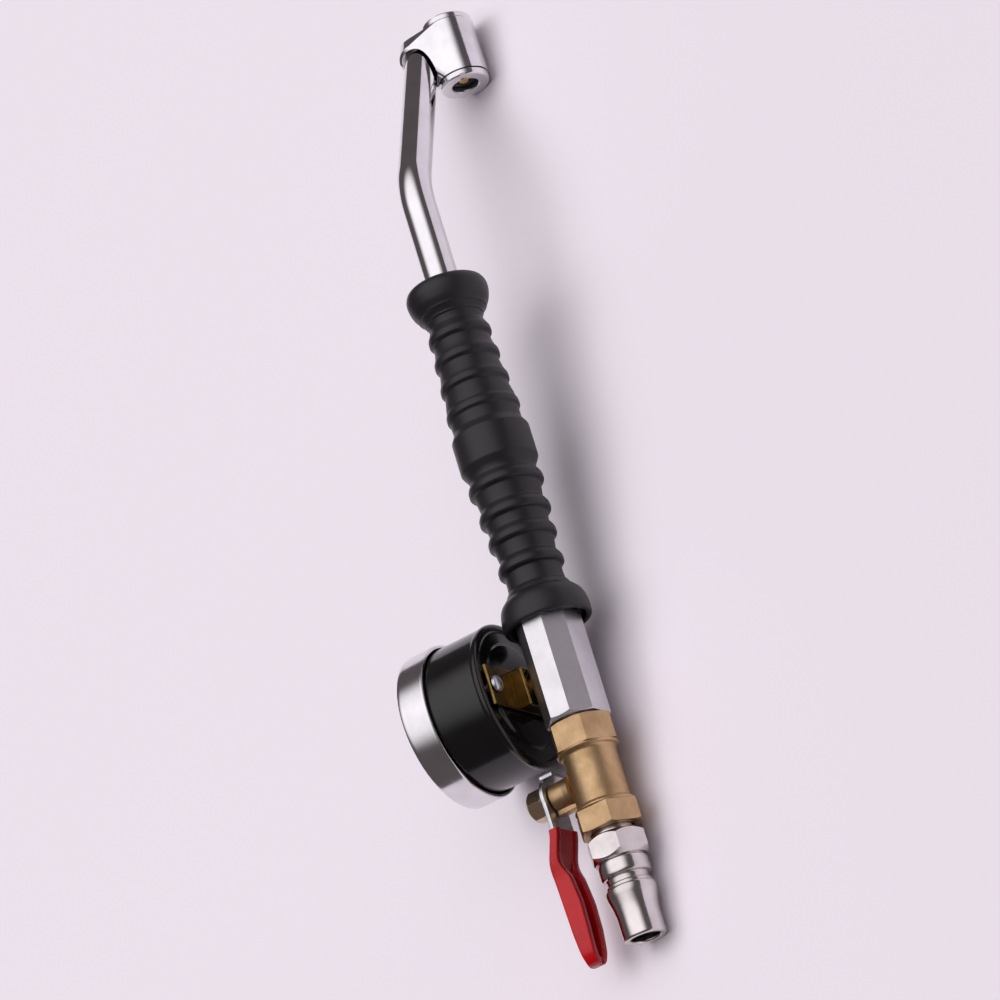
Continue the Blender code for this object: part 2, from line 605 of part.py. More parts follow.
def build_gauge_mount():
    back = CASE_Y[0]
    flange_top = back - FIT
    socket = turned("gauge_socket", [(0, back + 7.2), (5.0, back + 7.2), (5.0, flange_top - 0.6), (5.8, flange_top - 0.6),
                                     (5.8, 9.0), (4.6, 9.0), (4.6, 4.2), (0, 4.2)], GAUGE, "turned_brass", steps=28)
    square = box("wrench_square", (SOCKET_SQUARE, SOCKET_SQUARE, 4.2), (0, 0, 11.6), GAUGE, chamfer=0.5)
    flange = box("socket_flange", (12.4, 39.0, 1.2), (0, 0, flange_top - 0.6), GAUGE, chamfer=0.25)
    fuse(socket, square, flange)
    cut(socket, hole_at("socket_bore", 1.3, 3, back + 5, (0, 0)))
    for side in (-1, 1):
        cut(socket, hole_at(f"flange_hole_{side}", 1.5, back - 4, back + 2, (0, side * MOUNT_SCREW_Z)))
        gauge_screw("case_screw_lower" if side > 0 else "case_screw_upper", (0, side * MOUNT_SCREW_Z), 2.4,
                    (flange_top - 2.9, flange_top - 1.2 - FIT), 1.2, back + 2.2, turn=25 * side)
    block = box("bourdon_block", (24.0, 11.0, 4.6), (-5.5, 0, back + 4.2), GAUGE, "turned_brass", chamfer=0.4)
    cut(block, hole_at("bourdon_block_hole", 5.3, back, back + 9, (0, 0), 24))
    shape = [(-BOURDON_R - 2, -2.2), (-BOURDON_R + 2.3, -2.2), (-BOURDON_R + 2.3, 6), (-BOURDON_R - 2, 6)]
    cut(block, plate("bourdon_slot", shape, back + 0.5, back + 8, GAUGE))


def build_bourdon():
    """A flattened tube bent into a C, closed at its tip."""
    level = CASE_Y[0] + 4.2
    half_thick, half_wide, edge = 0.75, 1.6, 1.2
    corners = [(-0.5, -half_wide), (0.5, -half_wide), (half_thick, -edge), (half_thick, edge), (0.5, half_wide),
               (-0.5, half_wide), (-half_thick, edge), (-half_thick, -edge)]
    sections = []
    count = 34
    for i in range(count + 1):
        angle = math.radians(BOURDON_SPAN[0] + (BOURDON_SPAN[1] - BOURDON_SPAN[0]) * i / count)
        sections.append([((BOURDON_R + out) * math.cos(angle), (BOURDON_R + out) * math.sin(angle), level + up)
                         for out, up in corners])
    tube = loft("bourdon_tube", sections, GAUGE, "turned_brass")
    tip = rod("bourdon_tip_pin", 0.55, level, GEAR_Y[1] + FIT + 1.0, GAUGE, steps=12, at=(*TIP, 0))
    shoulder = rod("bourdon_tip_block", 1.1, level + 1.0, GEAR_Y[1] - 0.4, GAUGE, steps=16, at=(*TIP, 0))
    fuse(tube, shoulder, tip)


def gear_outline(teeth, total, centre_angle):
    """A rim of teeth whose middle tooth or gap points to centre_angle degrees."""
    pitch_r = GEAR_MODULE * total / 2
    root, tip = pitch_r - 0.75, pitch_r + 0.42
    step = 360.0 / total
    points = []
    for i in range(teeth):
        middle = centre_angle + (i - (teeth - 1) / 2) * step
        for radius, share in ((root, -0.27), (tip, -0.10), (tip, 0.10), (root, 0.27)):
            angle = math.radians(middle + share * step)
            points.append((radius * math.cos(angle), radius * math.sin(angle)))
    return points


def build_movement():
    """Two plates that hold the pinion, at the gauge's centre, and the sector beside it."""
    back = CASE_Y[0]
    outline = [*arc((4.0, 0), 7.0, -90, 90, 9), *arc((-SPACING, 0), 5.0, 90, 270, 9)]
    rear = plate("movement_rear_plate", outline, *REAR_PLATE_Y, MOVEMENT, "turned_brass")
    foot = back + CASE_WALL + FIT + 0.7
    for side in (-1, 1):
        leg = box(f"plate_leg_{side}", (5.0, 5.0, REAR_PLATE_Y[1] + 0.1 - foot),
                  (0, side * LEG_Z, (REAR_PLATE_Y[1] + 0.1 + foot) / 2), GAUGE, chamfer=0.3)
        bridge = box(f"leg_bridge_{side}", (4.4, 6.4, 0.9), (0, side * 6.8, sum(REAR_PLATE_Y) / 2), GAUGE)
        fuse(rear, leg, bridge)
    front = plate("movement_front_plate", outline, *FRONT_PLATE_Y, MOVEMENT, "turned_brass")
    for item in (rear, front):
        arbor_hole = rod(item.name + "_arbor_hole", 0.9, back, 32, MOVEMENT, steps=14)
        pivot_hole = rod(item.name + "_pivot_hole", 1.0, back, 32, MOVEMENT, steps=14, at=(-SPACING, 0, 0))
        cut(item, arbor_hole, pivot_hole)
    for i, (x, y) in enumerate(((8.2, 4.0), (8.2, -4.0), (-SPACING - 1.8, 3.1))):
        ends = (REAR_PLATE_Y[1] + FIT, FRONT_PLATE_Y[0] - FIT)
        turned(f"movement_pillar_{i + 1}", [(0, ends[1]), (1.2, ends[1]), (1.2, ends[0]), (0, ends[0])],
               MOVEMENT, "turned_brass", steps=14, at=(x, y, 0))
    pinion = plate("pinion_arbor", gear_outline(PINION_TEETH, PINION_TEETH, 180.0), *GEAR_Y, NEEDLE, "spring_steel")
    arbor_low = REAR_PLATE_Y[0] + 0.2
    arbor = turned("arbor_blank", [(0, 32.2), (0.45, 32.2), (0.6, 30.0), (0.6, arbor_low), (0, arbor_low)],
                   NEEDLE, steps=14)
    fuse(pinion, arbor)
    inner = 9.4
    reach = 39.0
    body = [*gear_outline(11, SECTOR_TEETH, 0.0), *arc((0, 0), inner, reach, 11, 6), (1.5, 1.5),
            *arc((0, 0), 2.0, 60, 185, 7), *arc(TAIL, 1.25, 130, 310, 7), *arc((0, 0), 2.0, 255, 300, 4),
            (1.5, -1.5), *arc((0, 0), inner, -11, -reach, 6)]
    sector = plate("sector_gear", body, *GEAR_Y, SECTOR, "turned_brass")
    pivot_high = FRONT_PLATE_Y[1] - 0.2
    pivot = turned("sector_pivot_blank", [(0, pivot_high), (0.7, pivot_high), (0.7, arbor_low), (0, arbor_low)],
                   SECTOR, steps=14)
    fuse(sector, pivot)
    cut(sector, rod("tail_hole", 0.85, 20, 30, SECTOR, steps=12, at=(*TAIL, 0)))


def build_link():
    """The link from the sector's tail to the pin on the Bourdon tube's tip."""
    low = GEAR_Y[1] + FIT
    shape = [*arc((0, 0), 1.25, 90, 270, 7), *arc((LINK_LENGTH, 0), 1.25, -90, 90, 7)]
    link = plate("bourdon_link", shape, low, low + 0.6, LINK, "turned_brass")
    fuse(link, rod("link_pin", 0.55, GEAR_Y[0] - 0.2, low + 0.3, LINK, steps=12))
    cut(link, rod("link_tip_hole", 0.85, 20, 30, LINK, steps=12, at=(LINK_LENGTH, 0, 0)))


def build_display():
    dial = turned("dial_plate", [(0, DIAL_Y + 0.4), (DIAL_R, DIAL_Y + 0.4), (DIAL_R, DIAL_Y), (0, DIAL_Y)], GAUGE,
                  "white_dial", steps=48)
    cut(dial, hole_at("dial_hole", 1.4, 25, 35, (0, 0)))
    front = bpy.data.objects["movement_front_plate"]
    for i, x in enumerate((6.0, -7.0)):
        cut(dial, hole_at(f"dial_screw_hole_{i}", 0.95, 29, 31, (x, 0), 14))
        cut(front, hole_at(f"plate_screw_hole_{i}", 0.95, 27, 29, (x, 0), 14))
        gauge_screw(f"dial_screw_{i + 1}", (x, 0), 1.5, (DIAL_Y + 0.65, DIAL_Y + 1.25), 0.65, 27.9, turn=40 * i)
    needle = [(-0.35, 16.5), (-1.1, 2.0), (-1.3, -4.0), (-0.7, -6.4), (0.7, -6.4), (1.3, -4.0), (1.1, 2.0), (0.35, 16.5)]
    pointer = plate("pointer", needle, 31.0, 31.4, NEEDLE, "pointer_black")
    fuse(pointer, rod("pointer_hub", 2.0, 30.5, 32.4, NEEDLE, steps=20))
    cut(pointer, rod("pointer_bore", 0.85, 29, 33.5, NEEDLE, steps=14))
    spiral = []
    turns, count = 3.5, 40
    for i in range(count + 1):
        angle = 2 * math.pi * turns * i / count
        radius = 1.6 + 2.6 * i / count
        spiral.append((radius * math.cos(angle), radius * math.sin(angle), 23.85))
    wire("hairspring", spiral, 0.14, MOVEMENT, "spring_steel", resolution=0)


# ---------------------------------------------------------------- chuck head

def head_blank():
    """The chuck's casting: a skin round the head's cylinder and the tube socket, cut level on top."""
    tilt = math.radians(BEND_ANGLE)
    along = Vector((math.cos(tilt), 0.0, -math.sin(tilt)))
    across = Vector((math.sin(tilt), 0.0, math.cos(tilt)))
    side = Vector((0.0, 1.0, 0.0))
    face = Vector((BEND_X, 0.0, 0.0)) + along * SOCKET_FACE
    top_x = HEAD_AT[0] + HEAD_HALF
    shape = bmesh.new()
    for y, z in arc((HEAD_AT[1], HEAD_AT[2]), HEAD_R, 0, 348.75, 32):
        shape.verts.new((top_x * MM, y * MM, z * MM))
        shape.verts.new(((HEAD_AT[0] - HEAD_HALF) * MM, y * MM, z * MM))
    for u, v in arc((0, 0), TUBE_SOCKET_R, 0, 347.14, 28):
        rim = face + across * u + side * v
        cap = rim + along * ((top_x - rim.x) / along.x)
        shape.verts.new(rim * MM)
        shape.verts.new(cap * MM)
    bmesh.ops.convex_hull(shape, input=shape.verts)
    loose = [vertex for vertex in shape.verts if not vertex.link_faces]
    bmesh.ops.delete(shape, geom=loose, context="VERTS")
    return from_bmesh("chuck_body", shape, ROOT, "chrome")


def build_head():
    body = head_blank()
    relief = rod("tube_relief", RELIEF_R, SOCKET_FACE - 25, SOCKET_FACE + 0.6, UPPER, steps=32)
    bore = turned("tube_bore", [(0, SOCKET_FACE + 5.6), (3.3, SOCKET_FACE + 5.6), (3.3, TUBE_END + 0.3),
                                (TUBE_R + 0.25, TUBE_END + 0.3), (TUBE_R + 0.25, SOCKET_FACE - 1), (0, SOCKET_FACE - 1)],
                  UPPER, steps=32)
    cut(body, relief, bore)
    for side in (-1, 1):
        turn = (0, 0, 0) if side > 0 else (180, 0, 0)
        mouth = turned(f"mouth_bore_{side}",
                       [(0, HEAD_HALF + 1), (7.0, HEAD_HALF + 1), (7.0, 8.0), (SEAL_R + 0.25, 8.0), (SEAL_R + 0.25, 5.7),
                        (3.2, 5.7), (3.2, 0.5), (0, 0.5)], HEAD, steps=32, turn=turn)
        cut(body, mouth)
    cut(body, rod("web_hole", 0.9, -2, 2, HEAD, steps=12))
    duct_x = 4.3
    cut(body, rod("head_duct", 1.1, 0, -HEAD_AT[1] - 1.8, HEAD, steps=12, at=(0, 0, duct_x), turn=(-90, 0, 0)))


def build_head_ends():
    ring = [(MOUTH_R, RING_FACE - 0.4), (MOUTH_R + 0.4, RING_FACE), (RING_R - 0.4, RING_FACE), (RING_R, RING_FACE - 0.4),
            (RING_R, HEAD_HALF + FIT), (6.75, HEAD_HALF + FIT), (6.75, 8.2), (SEAL_R + 0.3, 8.2), (SEAL_R + 0.3, 9.6),
            (MOUTH_R, 9.6)]
    seal = [(2.1, 9.3), (SEAL_R, 9.3), (SEAL_R, 6.0), (2.1, 6.0)]
    for name, parent, turn in (("push", HEAD, (0, 0, 0)), ("pull", HEAD, (180, 0, 25.5))):
        slotted = turned(f"retaining_ring_{name}", ring, parent, "chrome", steps=36, turn=turn)
        across = box(f"spanner_slots_{name}", (20, 1.8, 1.5), (0, 0, RING_FACE), parent, turn=turn)
        cut(slotted, across)
        turned(f"chuck_seal_{name}", seal, parent, "seal_rubber", steps=28, turn=turn)
        mover = PLUNGERS[name]
        pin = [(0, 9.6), (PIN_R - 0.25, 9.6), (PIN_R, 9.3), (PIN_R, 5.65), (PLUNGER_R, 5.65), (PLUNGER_R, 4.9), (0, 4.9)]
        turned(f"depressor_pin_{name}", pin, mover, "turned_brass", steps=20)
        coil = []
        turns, per_turn = 3, 10
        for i in range(turns * per_turn + 1):
            angle = 2 * math.pi * i / per_turn
            height = 0.95 + 3.5 * i / (turns * per_turn)
            coil.append((2.2 * math.cos(angle), 2.2 * math.sin(angle), height))
        wire(f"plunger_spring_{name}", coil, 0.22, parent, "spring_steel", resolution=0, turn=turn)


# ---------------------------------------------------------------- assembly

def tail_in_gauge():
    """Where the sector's tail pin is at rest, across the gauge axis."""
    movement = Matrix.Rotation(math.radians(MOVEMENT_TURN), 2)
    sector = Matrix.Rotation(math.radians(-SECTOR_SWEEP / 2), 2)
    return movement @ (Vector((-SPACING, 0)) + sector @ Vector(TAIL))


SPACING = GEAR_MODULE * (PINION_TEETH + SECTOR_TEETH) / 2
TIP = (BOURDON_R * math.cos(math.radians(BOURDON_SPAN[1] + 4)),
       BOURDON_R * math.sin(math.radians(BOURDON_SPAN[1] + 4)))
LINK_RUN = Vector(TIP) - tail_in_gauge()
LINK_LENGTH = LINK_RUN.length
LINK_TURN = math.degrees(math.atan2(LINK_RUN.y, LINK_RUN.x)) - MOVEMENT_TURN + SECTOR_SWEEP / 2

LEVER = axis_empty("lever_frame", ROOT, at=(STEM_X, 0, 0))
MOVEMENT = axis_empty("movement_axis", GAUGE, turn=(0, 0, MOVEMENT_TURN))
NEEDLE = axis_empty("needle_axis", GAUGE, turn=(0, 0, POINTER_REST - 90))
SECTOR = axis_empty("sector_axis", MOVEMENT, at=(-SPACING, 0, 0), turn=(0, 0, -SECTOR_SWEEP / 2))
LINK = axis_empty("link_axis", SECTOR, at=(*TAIL, 0), turn=(0, 0, LINK_TURN))
PLUNGERS = {
    "push": axis_empty("plunger_push_axis", HEAD),
    "pull": axis_empty("plunger_pull_axis", HEAD, turn=(180, 0, 0)),
}


def stand_on_ground():
    """Moves the root so that the assembly's box is centred on the origin and stands on z = 0."""
    bpy.context.view_layer.update()
    graph = bpy.context.evaluated_depsgraph_get()
    low = Vector((math.inf,) * 3)
    high = -low
    for item in PARTS.objects:
        if item.type == "EMPTY":
            continue
        evaluated = item.evaluated_get(graph)
        mesh = evaluated.to_mesh()
        for vertex in mesh.vertices:
            point = evaluated.matrix_world @ vertex.co
            low = Vector(map(min, low, point))
            high = Vector(map(max, high, point))
        evaluated.to_mesh_clear()
    ROOT.location = (-(low.x + high.x) / 2, -(low.y + high.y) / 2, -low.z)
    bpy.context.view_layer.update()


def main():
    build_plug()
    build_valve_body()
    build_valve_inside()
    build_lever()
    build_block()
    build_tube()
    build_grip()
    build_gauge_shell()
    build_gauge_mount()
    build_bourdon()
    build_movement()
    build_link()
    build_display()
    build_head()
    build_head_ends()
    stand_on_ground()


main()
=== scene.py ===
"""Looks of the tyre inflator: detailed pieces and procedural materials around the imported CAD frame."""

import json
import math

import bmesh
import bpy
from mathutils import Euler, Matrix, Vector


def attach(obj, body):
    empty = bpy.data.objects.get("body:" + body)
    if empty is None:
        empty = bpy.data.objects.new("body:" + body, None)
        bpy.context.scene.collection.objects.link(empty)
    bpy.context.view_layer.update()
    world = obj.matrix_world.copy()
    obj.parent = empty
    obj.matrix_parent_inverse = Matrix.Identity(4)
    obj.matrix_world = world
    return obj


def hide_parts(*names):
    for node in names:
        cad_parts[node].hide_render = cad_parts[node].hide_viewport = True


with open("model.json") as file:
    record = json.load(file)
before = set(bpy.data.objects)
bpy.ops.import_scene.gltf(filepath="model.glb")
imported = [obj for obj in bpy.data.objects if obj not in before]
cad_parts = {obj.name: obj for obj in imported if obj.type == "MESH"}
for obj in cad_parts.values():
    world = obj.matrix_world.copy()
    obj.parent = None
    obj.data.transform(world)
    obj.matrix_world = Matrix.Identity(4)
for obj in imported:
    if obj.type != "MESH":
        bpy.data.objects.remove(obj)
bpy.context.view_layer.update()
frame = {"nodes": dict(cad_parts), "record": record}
RECORD = frame["record"]

MM = 0.001
MERGE = 0.000002

# ---------------------------------------------------------------- dimensions in millimetres and degrees

# Coupler plug and ball valve. X runs from the plug's open end towards the chuck head.
PLUG_HEX_AF = 16.0
PLUG_HEX_X = (22.8, 30.2)
PLUG_BORE_R = 4.3
PLUG_TAIL_X = 40.2
PIPE_THREAD_R = 6.0
PIPE_SOCKET_R = 6.3
VALVE_HEX_AF = 17.0
VALVE_X = (31.8, 64.8)
VALVE_CORE_R = 8.2
VALVE_BODY_R = 7.75
STEM_X = 47.5
BOSS_Y = 14.2
STEM_BORE_R = 2.6

# Lever.
LEVER_Y = 14.5
LEVER_T = 1.3
LEVER_HEAD_R = 6.3
SLEEVE_X = 38.0
SLEEVE_GAP = 0.2
SLEEVE_OUT = 0.65       # from the steel to the outside of the vinyl
SLEEVE_EDGE = 2.5       # width of the vinyl along a flange's edge
# Along the handle: station, rise of the inner face, half width and flange depth of the steel.
HANDLE = (
    (37.6, 0.0, 5.4, 0.12), (36.0, 0.35, 5.4, 0.12), (30.0, 2.6, 5.4, 0.2), (28.0, 3.2, 5.0, 0.7),
    (26.0, 3.5, 4.4, 1.6), (24.0, 3.5, 4.0, 2.4), (16.0, 3.2, 3.95, 3.0), (8.0, 2.9, 3.95, 2.5),
    (2.6, 2.6, 3.6, 1.7), (0.6, 2.45, 3.1, 1.4), (-0.7, 2.35, 2.3, 1.1))

# Block and tube.
BLOCK_X = (65.3, 97.5)
BLOCK_HALF = (10.0, 8.0)
BLOCK_CORNER = 4.8
TUBE_R = 5.1
TUBE_WALL = 1.3
TUBE_START_X = 88.0
TUBE_END = 66.7         # from the bend's corner to the tube's upper end
BEND_X = 239.6
BEND_ANGLE = 30.0
BEND_RADIUS = 26.0

# Gauge.
GAUGE_X = 80.0
CASE_R = 22.3
CASE_BACK = 14.8
CASE_FRONT = 37.1
BEZEL_R = 23.8
BEZEL_Y = (32.8, 42.1)
MOUNT_SCREW = 17.0
DIAL_TOP = 30.0
DIAL_R = 20.4
DIAL_START = 45.0       # angle of zero about the gauge axis
DIAL_SWEEP = 270.0
DIAL_STEPS = 12
DIAL_MARK_R = 19.2      # outer ends of the marks
DIAL_NUMBER_R = 14.0
DIAL_NUMBER_SIZE = 3.6
DIAL_PRINT_LIFT = 0.04

# Chuck head: heights are measured along its own axis from its middle.
HEAD_AT = (292.1, -10.1, -35.0)
HEAD_R = 8.05
HEAD_HALF = 9.0
SOCKET_R = 6.8
SOCKET_FACE = 63.2
RING_FACE = 11.3
RING_R = 7.75


# ---------------------------------------------------------------- frame of the tool


def tool_frame():
    """The tool's own frame, from the lever's hinge and the direction of the push-on chuck."""
    hinge = next(j for j in RECORD["behaviour"]["joints"] if j["name"] == "lever_turn")
    face = next(m for m in RECORD["mounts"] if m["name"] == "chuck_face_push")
    x_axis = Vector(face["axis"]).normalized()
    y_axis = Vector(hinge["axis"]).normalized()
    z_axis = x_axis.cross(y_axis).normalized()
    turn = Matrix((x_axis, y_axis, z_axis)).transposed().to_4x4()
    origin = Vector(hinge["pos_m"]) - x_axis * STEM_X * MM
    return Matrix.Translation(origin) @ turn


def local(at=(0, 0, 0), turn=(0, 0, 0)):
    """A placement in millimetres and degrees."""
    angles = Euler([math.radians(value) for value in turn])
    return Matrix.Translation(Vector(at) * MM) @ angles.to_matrix().to_4x4()


TOOL = tool_frame()
LINE = TOOL @ local(turn=(0, 90, 0))
STEM = TOOL @ local(at=(STEM_X, 0, 0), turn=(-90, 0, 0))
GAUGE = TOOL @ local(at=(GAUGE_X, 0, 0), turn=(-90, 0, 0))
HEAD = TOOL @ local(at=HEAD_AT, turn=(0, 90, 0))
UPPER = TOOL @ local(at=(BEND_X, 0, 0), turn=(0, 90 + BEND_ANGLE, 0))


# ---------------------------------------------------------------- materials

FLOOR_COLOUR = (0.80, 0.748, 0.81)


def shader_tree(name, colour, metallic, roughness, coat=0.0, coat_roughness=0.05, specular=0.5):
    made = bpy.data.materials.new(name)
    made.use_nodes = True
    tree = made.node_tree
    shader = tree.nodes["Principled BSDF"]
    shader.inputs["Base Color"].default_value = (*colour, 1.0)
    shader.inputs["Metallic"].default_value = metallic
    shader.inputs["Roughness"].default_value = roughness
    shader.inputs["Coat Weight"].default_value = coat
    shader.inputs["Coat Roughness"].default_value = coat_roughness
    shader.inputs["Specular IOR Level"].default_value = specular
    return made, tree, shader


def coordinates(tree, stretch=(1, 1, 1)):
    """Coordinates in millimetres along the piece's own axes."""
    source = tree.nodes.new("ShaderNodeTexCoord")
    mapping = tree.nodes.new("ShaderNodeMapping")
    mapping.inputs["Scale"].default_value = [1000.0 * value for value in stretch]
    tree.links.new(source.outputs["Object"], mapping.inputs["Vector"])
    return mapping.outputs["Vector"]


def noise(tree, vector, scale, detail):
    node = tree.nodes.new("ShaderNodeTexNoise")
    node.inputs["Scale"].default_value = scale
    node.inputs["Detail"].default_value = detail
    node.inputs["Roughness"].default_value = 0.55
    tree.links.new(vector, node.inputs["Vector"])
    return node.outputs["Fac"]


def remap(tree, value, low, high):
    """Stretches the middle of a noise's values to the range from low to high."""
    node = tree.nodes.new("ShaderNodeMapRange")
    node.inputs["From Min"].default_value = 0.3
    node.inputs["From Max"].default_value = 0.7
    node.inputs["To Min"].default_value = low
    node.inputs["To Max"].default_value = high
    tree.links.new(value, node.inputs["Value"])
    return node.outputs["Result"]


def blend_colour(tree, factor, first, second):
    node = tree.nodes.new("ShaderNodeMix")
    node.data_type = "RGBA"
    node.inputs[6].default_value = (*first, 1.0)
    node.inputs[7].default_value = (*second, 1.0)
    tree.links.new(factor, node.inputs[0])
    return node.outputs[2]


def add_bump(tree, shader, height, distance):
    node = tree.nodes.new("ShaderNodeBump")
    node.inputs["Strength"].default_value = 1.0
    node.inputs["Distance"].default_value = distance * MM
    tree.links.new(height, node.inputs["Height"])
    tree.links.new(node.outputs["Normal"], shader.inputs["Normal"])


def surface(name, base, darker, metallic, rough, grain, bump, stretch=(1, 1, 1), patch=0.12, **extra):
    """A material whose colour and roughness vary in patches, with fine grain in its relief.

    rough is (low, high), grain is noise features per millimetre and bump the relief in millimetres.
    """
    made, tree, shader = shader_tree(name, base, metallic, rough[0], **extra)
    plain = coordinates(tree)
    fine = coordinates(tree, stretch)
    blotch = noise(tree, plain, patch, 4.0)
    speck = noise(tree, fine, grain, 2.0)
    factor = remap(tree, blotch, 0.0, 1.0)
    tree.links.new(blend_colour(tree, factor, base, darker), shader.inputs["Base Color"])
    mixed = tree.nodes.new("ShaderNodeMath")
    mixed.operation = "ADD"
    tree.links.new(remap(tree, blotch, 0.0, (rough[1] - rough[0]) * 0.6), mixed.inputs[0])
    tree.links.new(remap(tree, speck, rough[0], rough[0] + (rough[1] - rough[0]) * 0.4), mixed.inputs[1])
    tree.links.new(mixed.outputs[0], shader.inputs["Roughness"])
    add_bump(tree, shader, speck, bump)
    return made


def make_materials():
    return {
        "chrome": surface("chrome", (0.80, 0.79, 0.80), (0.70, 0.69, 0.71), 1.0, (0.05, 0.12), 0.6, 0.0012),
        "bezel": surface("bezel_chrome", (0.80, 0.79, 0.80), (0.68, 0.67, 0.69), 1.0, (0.10, 0.20), 2.2,
                         0.0030, stretch=(0.25, 0.25, 3.0)),
        "cast_chrome": surface("cast_chrome", (0.82, 0.81, 0.83), (0.68, 0.67, 0.70), 1.0, (0.06, 0.16),
                               0.35, 0.010),
        "satin_steel": surface("satin_steel", (0.84, 0.83, 0.85), (0.72, 0.71, 0.74), 1.0, (0.34, 0.44),
                               3.0, 0.0025, stretch=(1.2, 1.2, 0.04)),
        "nickel": surface("nickel", (0.74, 0.70, 0.69), (0.58, 0.53, 0.52), 1.0, (0.10, 0.26), 1.6, 0.004,
                          stretch=(0.5, 0.5, 2.0)),
        "forged_brass": surface("forged_brass", (0.62, 0.43, 0.24), (0.50, 0.33, 0.17), 1.0, (0.34, 0.50),
                                1.5, 0.055, patch=0.22),
        "turned_brass": surface("turned_brass", (0.64, 0.44, 0.18), (0.42, 0.27, 0.09), 1.0, (0.16, 0.34),
                                3.0, 0.005, stretch=(0.5, 0.5, 2.5), patch=0.3),
        # Brass with painted shade: a much darker copy of the turned brass, standing in for the shadow
        # behind the gauge case.
        "socket_brass_painted_shade": surface("socket_brass_painted_shade", (0.24, 0.15, 0.045), (0.11, 0.07, 0.022), 1.0, (0.14, 0.30),
                                2.0, 0.005, patch=0.3),
        "nut_brass": surface("nut_brass", (0.72, 0.54, 0.38), (0.50, 0.35, 0.23), 1.0, (0.22, 0.42), 2.2,
                             0.012, patch=0.35),
        "zinc_steel": surface("zinc_steel", (0.68, 0.69, 0.71), (0.50, 0.51, 0.54), 1.0, (0.24, 0.42), 1.4,
                              0.008, patch=0.3),
        "spring_steel": surface("spring_steel", (0.55, 0.55, 0.57), (0.40, 0.40, 0.42), 1.0, (0.18, 0.34),
                                3.0, 0.004),
        "black_rubber": surface("black_rubber", (0.0105, 0.0100, 0.0110), (0.0150, 0.0140, 0.0155), 0.0,
                                (0.33, 0.46), 3.5, 0.012, patch=0.08, specular=0.42),
        "seal_rubber": surface("seal_rubber", (0.012, 0.011, 0.012), (0.022, 0.020, 0.021), 0.0,
                               (0.42, 0.62), 3.0, 0.015),
        "black_enamel": surface("black_enamel", (0.0035, 0.0035, 0.0038), (0.0055, 0.0052, 0.0055), 0.0,
                                (0.12, 0.20), 0.9, 0.0030, coat=0.2, coat_roughness=0.08, specular=0.38),
        "red_vinyl": surface("red_vinyl", (0.50, 0.0035, 0.008), (0.38, 0.0025, 0.006), 0.0, (0.20, 0.30),
                             0.5, 0.030, patch=0.06, coat=0.12, coat_roughness=0.10, specular=0.30),
        "white_dial": surface("white_dial", (0.84, 0.83, 0.80), (0.80, 0.79, 0.76), 0.0, (0.40, 0.50), 2.0,
                              0.003),
        "pointer_black": surface("pointer_black", (0.014, 0.014, 0.015), (0.022, 0.022, 0.024), 0.0,
                                 (0.35, 0.5), 2.0, 0.004),
        "ptfe": surface("ptfe", (0.82, 0.82, 0.80), (0.76, 0.76, 0.73), 0.0, (0.38, 0.5), 1.5, 0.006),
        "clear_lens": lens_material(),
        "floor": floor_material(),
    }


def lens_material():
    """Thin clear plastic: light passes straight through, with a faint gloss at grazing angles."""
    made, tree, shader = shader_tree("clear_lens", (0.98, 0.99, 0.99), 1.0, 0.03)
    haze = noise(tree, coordinates(tree), 0.4, 3.0)
    tree.links.new(remap(tree, haze, 0.015, 0.05), shader.inputs["Roughness"])
    clear = tree.nodes.new("ShaderNodeBsdfTransparent")
    gloss = tree.nodes.new("ShaderNodeFresnel")
    gloss.inputs["IOR"].default_value = 1.30
    mixed = tree.nodes.new("ShaderNodeMixShader")
    tree.links.new(gloss.outputs["Fac"], mixed.inputs[0])
    tree.links.new(clear.outputs["BSDF"], mixed.inputs[1])
    tree.links.new(shader.outputs["BSDF"], mixed.inputs[2])
    tree.links.new(mixed.outputs["Shader"], tree.nodes["Material Output"].inputs["Surface"])
    return made


def floor_material():
    made, tree, shader = shader_tree("backdrop_paper", FLOOR_COLOUR, 0.0, 0.85, specular=0.15)
    source = tree.nodes.new("ShaderNodeTexCoord")
    soft = noise(tree, source.outputs["Object"], 3.0, 2.0)
    shaded = tuple(value * 0.985 for value in FLOOR_COLOUR)
    colour = blend_colour(tree, remap(tree, soft, 0.0, 1.0), FLOOR_COLOUR, shaded)
    tree.links.new(colour, shader.inputs["Base Color"])
    return made


MATERIALS = make_materials()


# ---------------------------------------------------------------- shapes

def soften(outline, fillet, closed):
    """Rounds the corners of a (radius, height) outline with short curves.

    A third value in a point sets that corner's own fillet.
    """
    points = [(Vector((p[0], p[1])), p[2] if len(p) > 2 else fillet) for p in outline]
    count = len(points)
    result = []
    for i, (here, size) in enumerate(points):
        at_end = not closed and i in (0, count - 1)
        before = points[i - 1][0]
        after = points[(i + 1) % count][0]
        first = before - here
        second = after - here
        reach = 0 if at_end else min(size, first.length * 0.45, second.length * 0.45)
        if reach < 0.01 or first.angle(-second) < math.radians(8):
            result.append(here)
            continue
        start = here + first.normalized() * reach
        end = here + second.normalized() * reach
        for t in (0.0, 0.25, 0.5, 0.75, 1.0):
            result.append(start * (1 - t) ** 2 + here * 2 * t * (1 - t) + end * t ** 2)
    return result


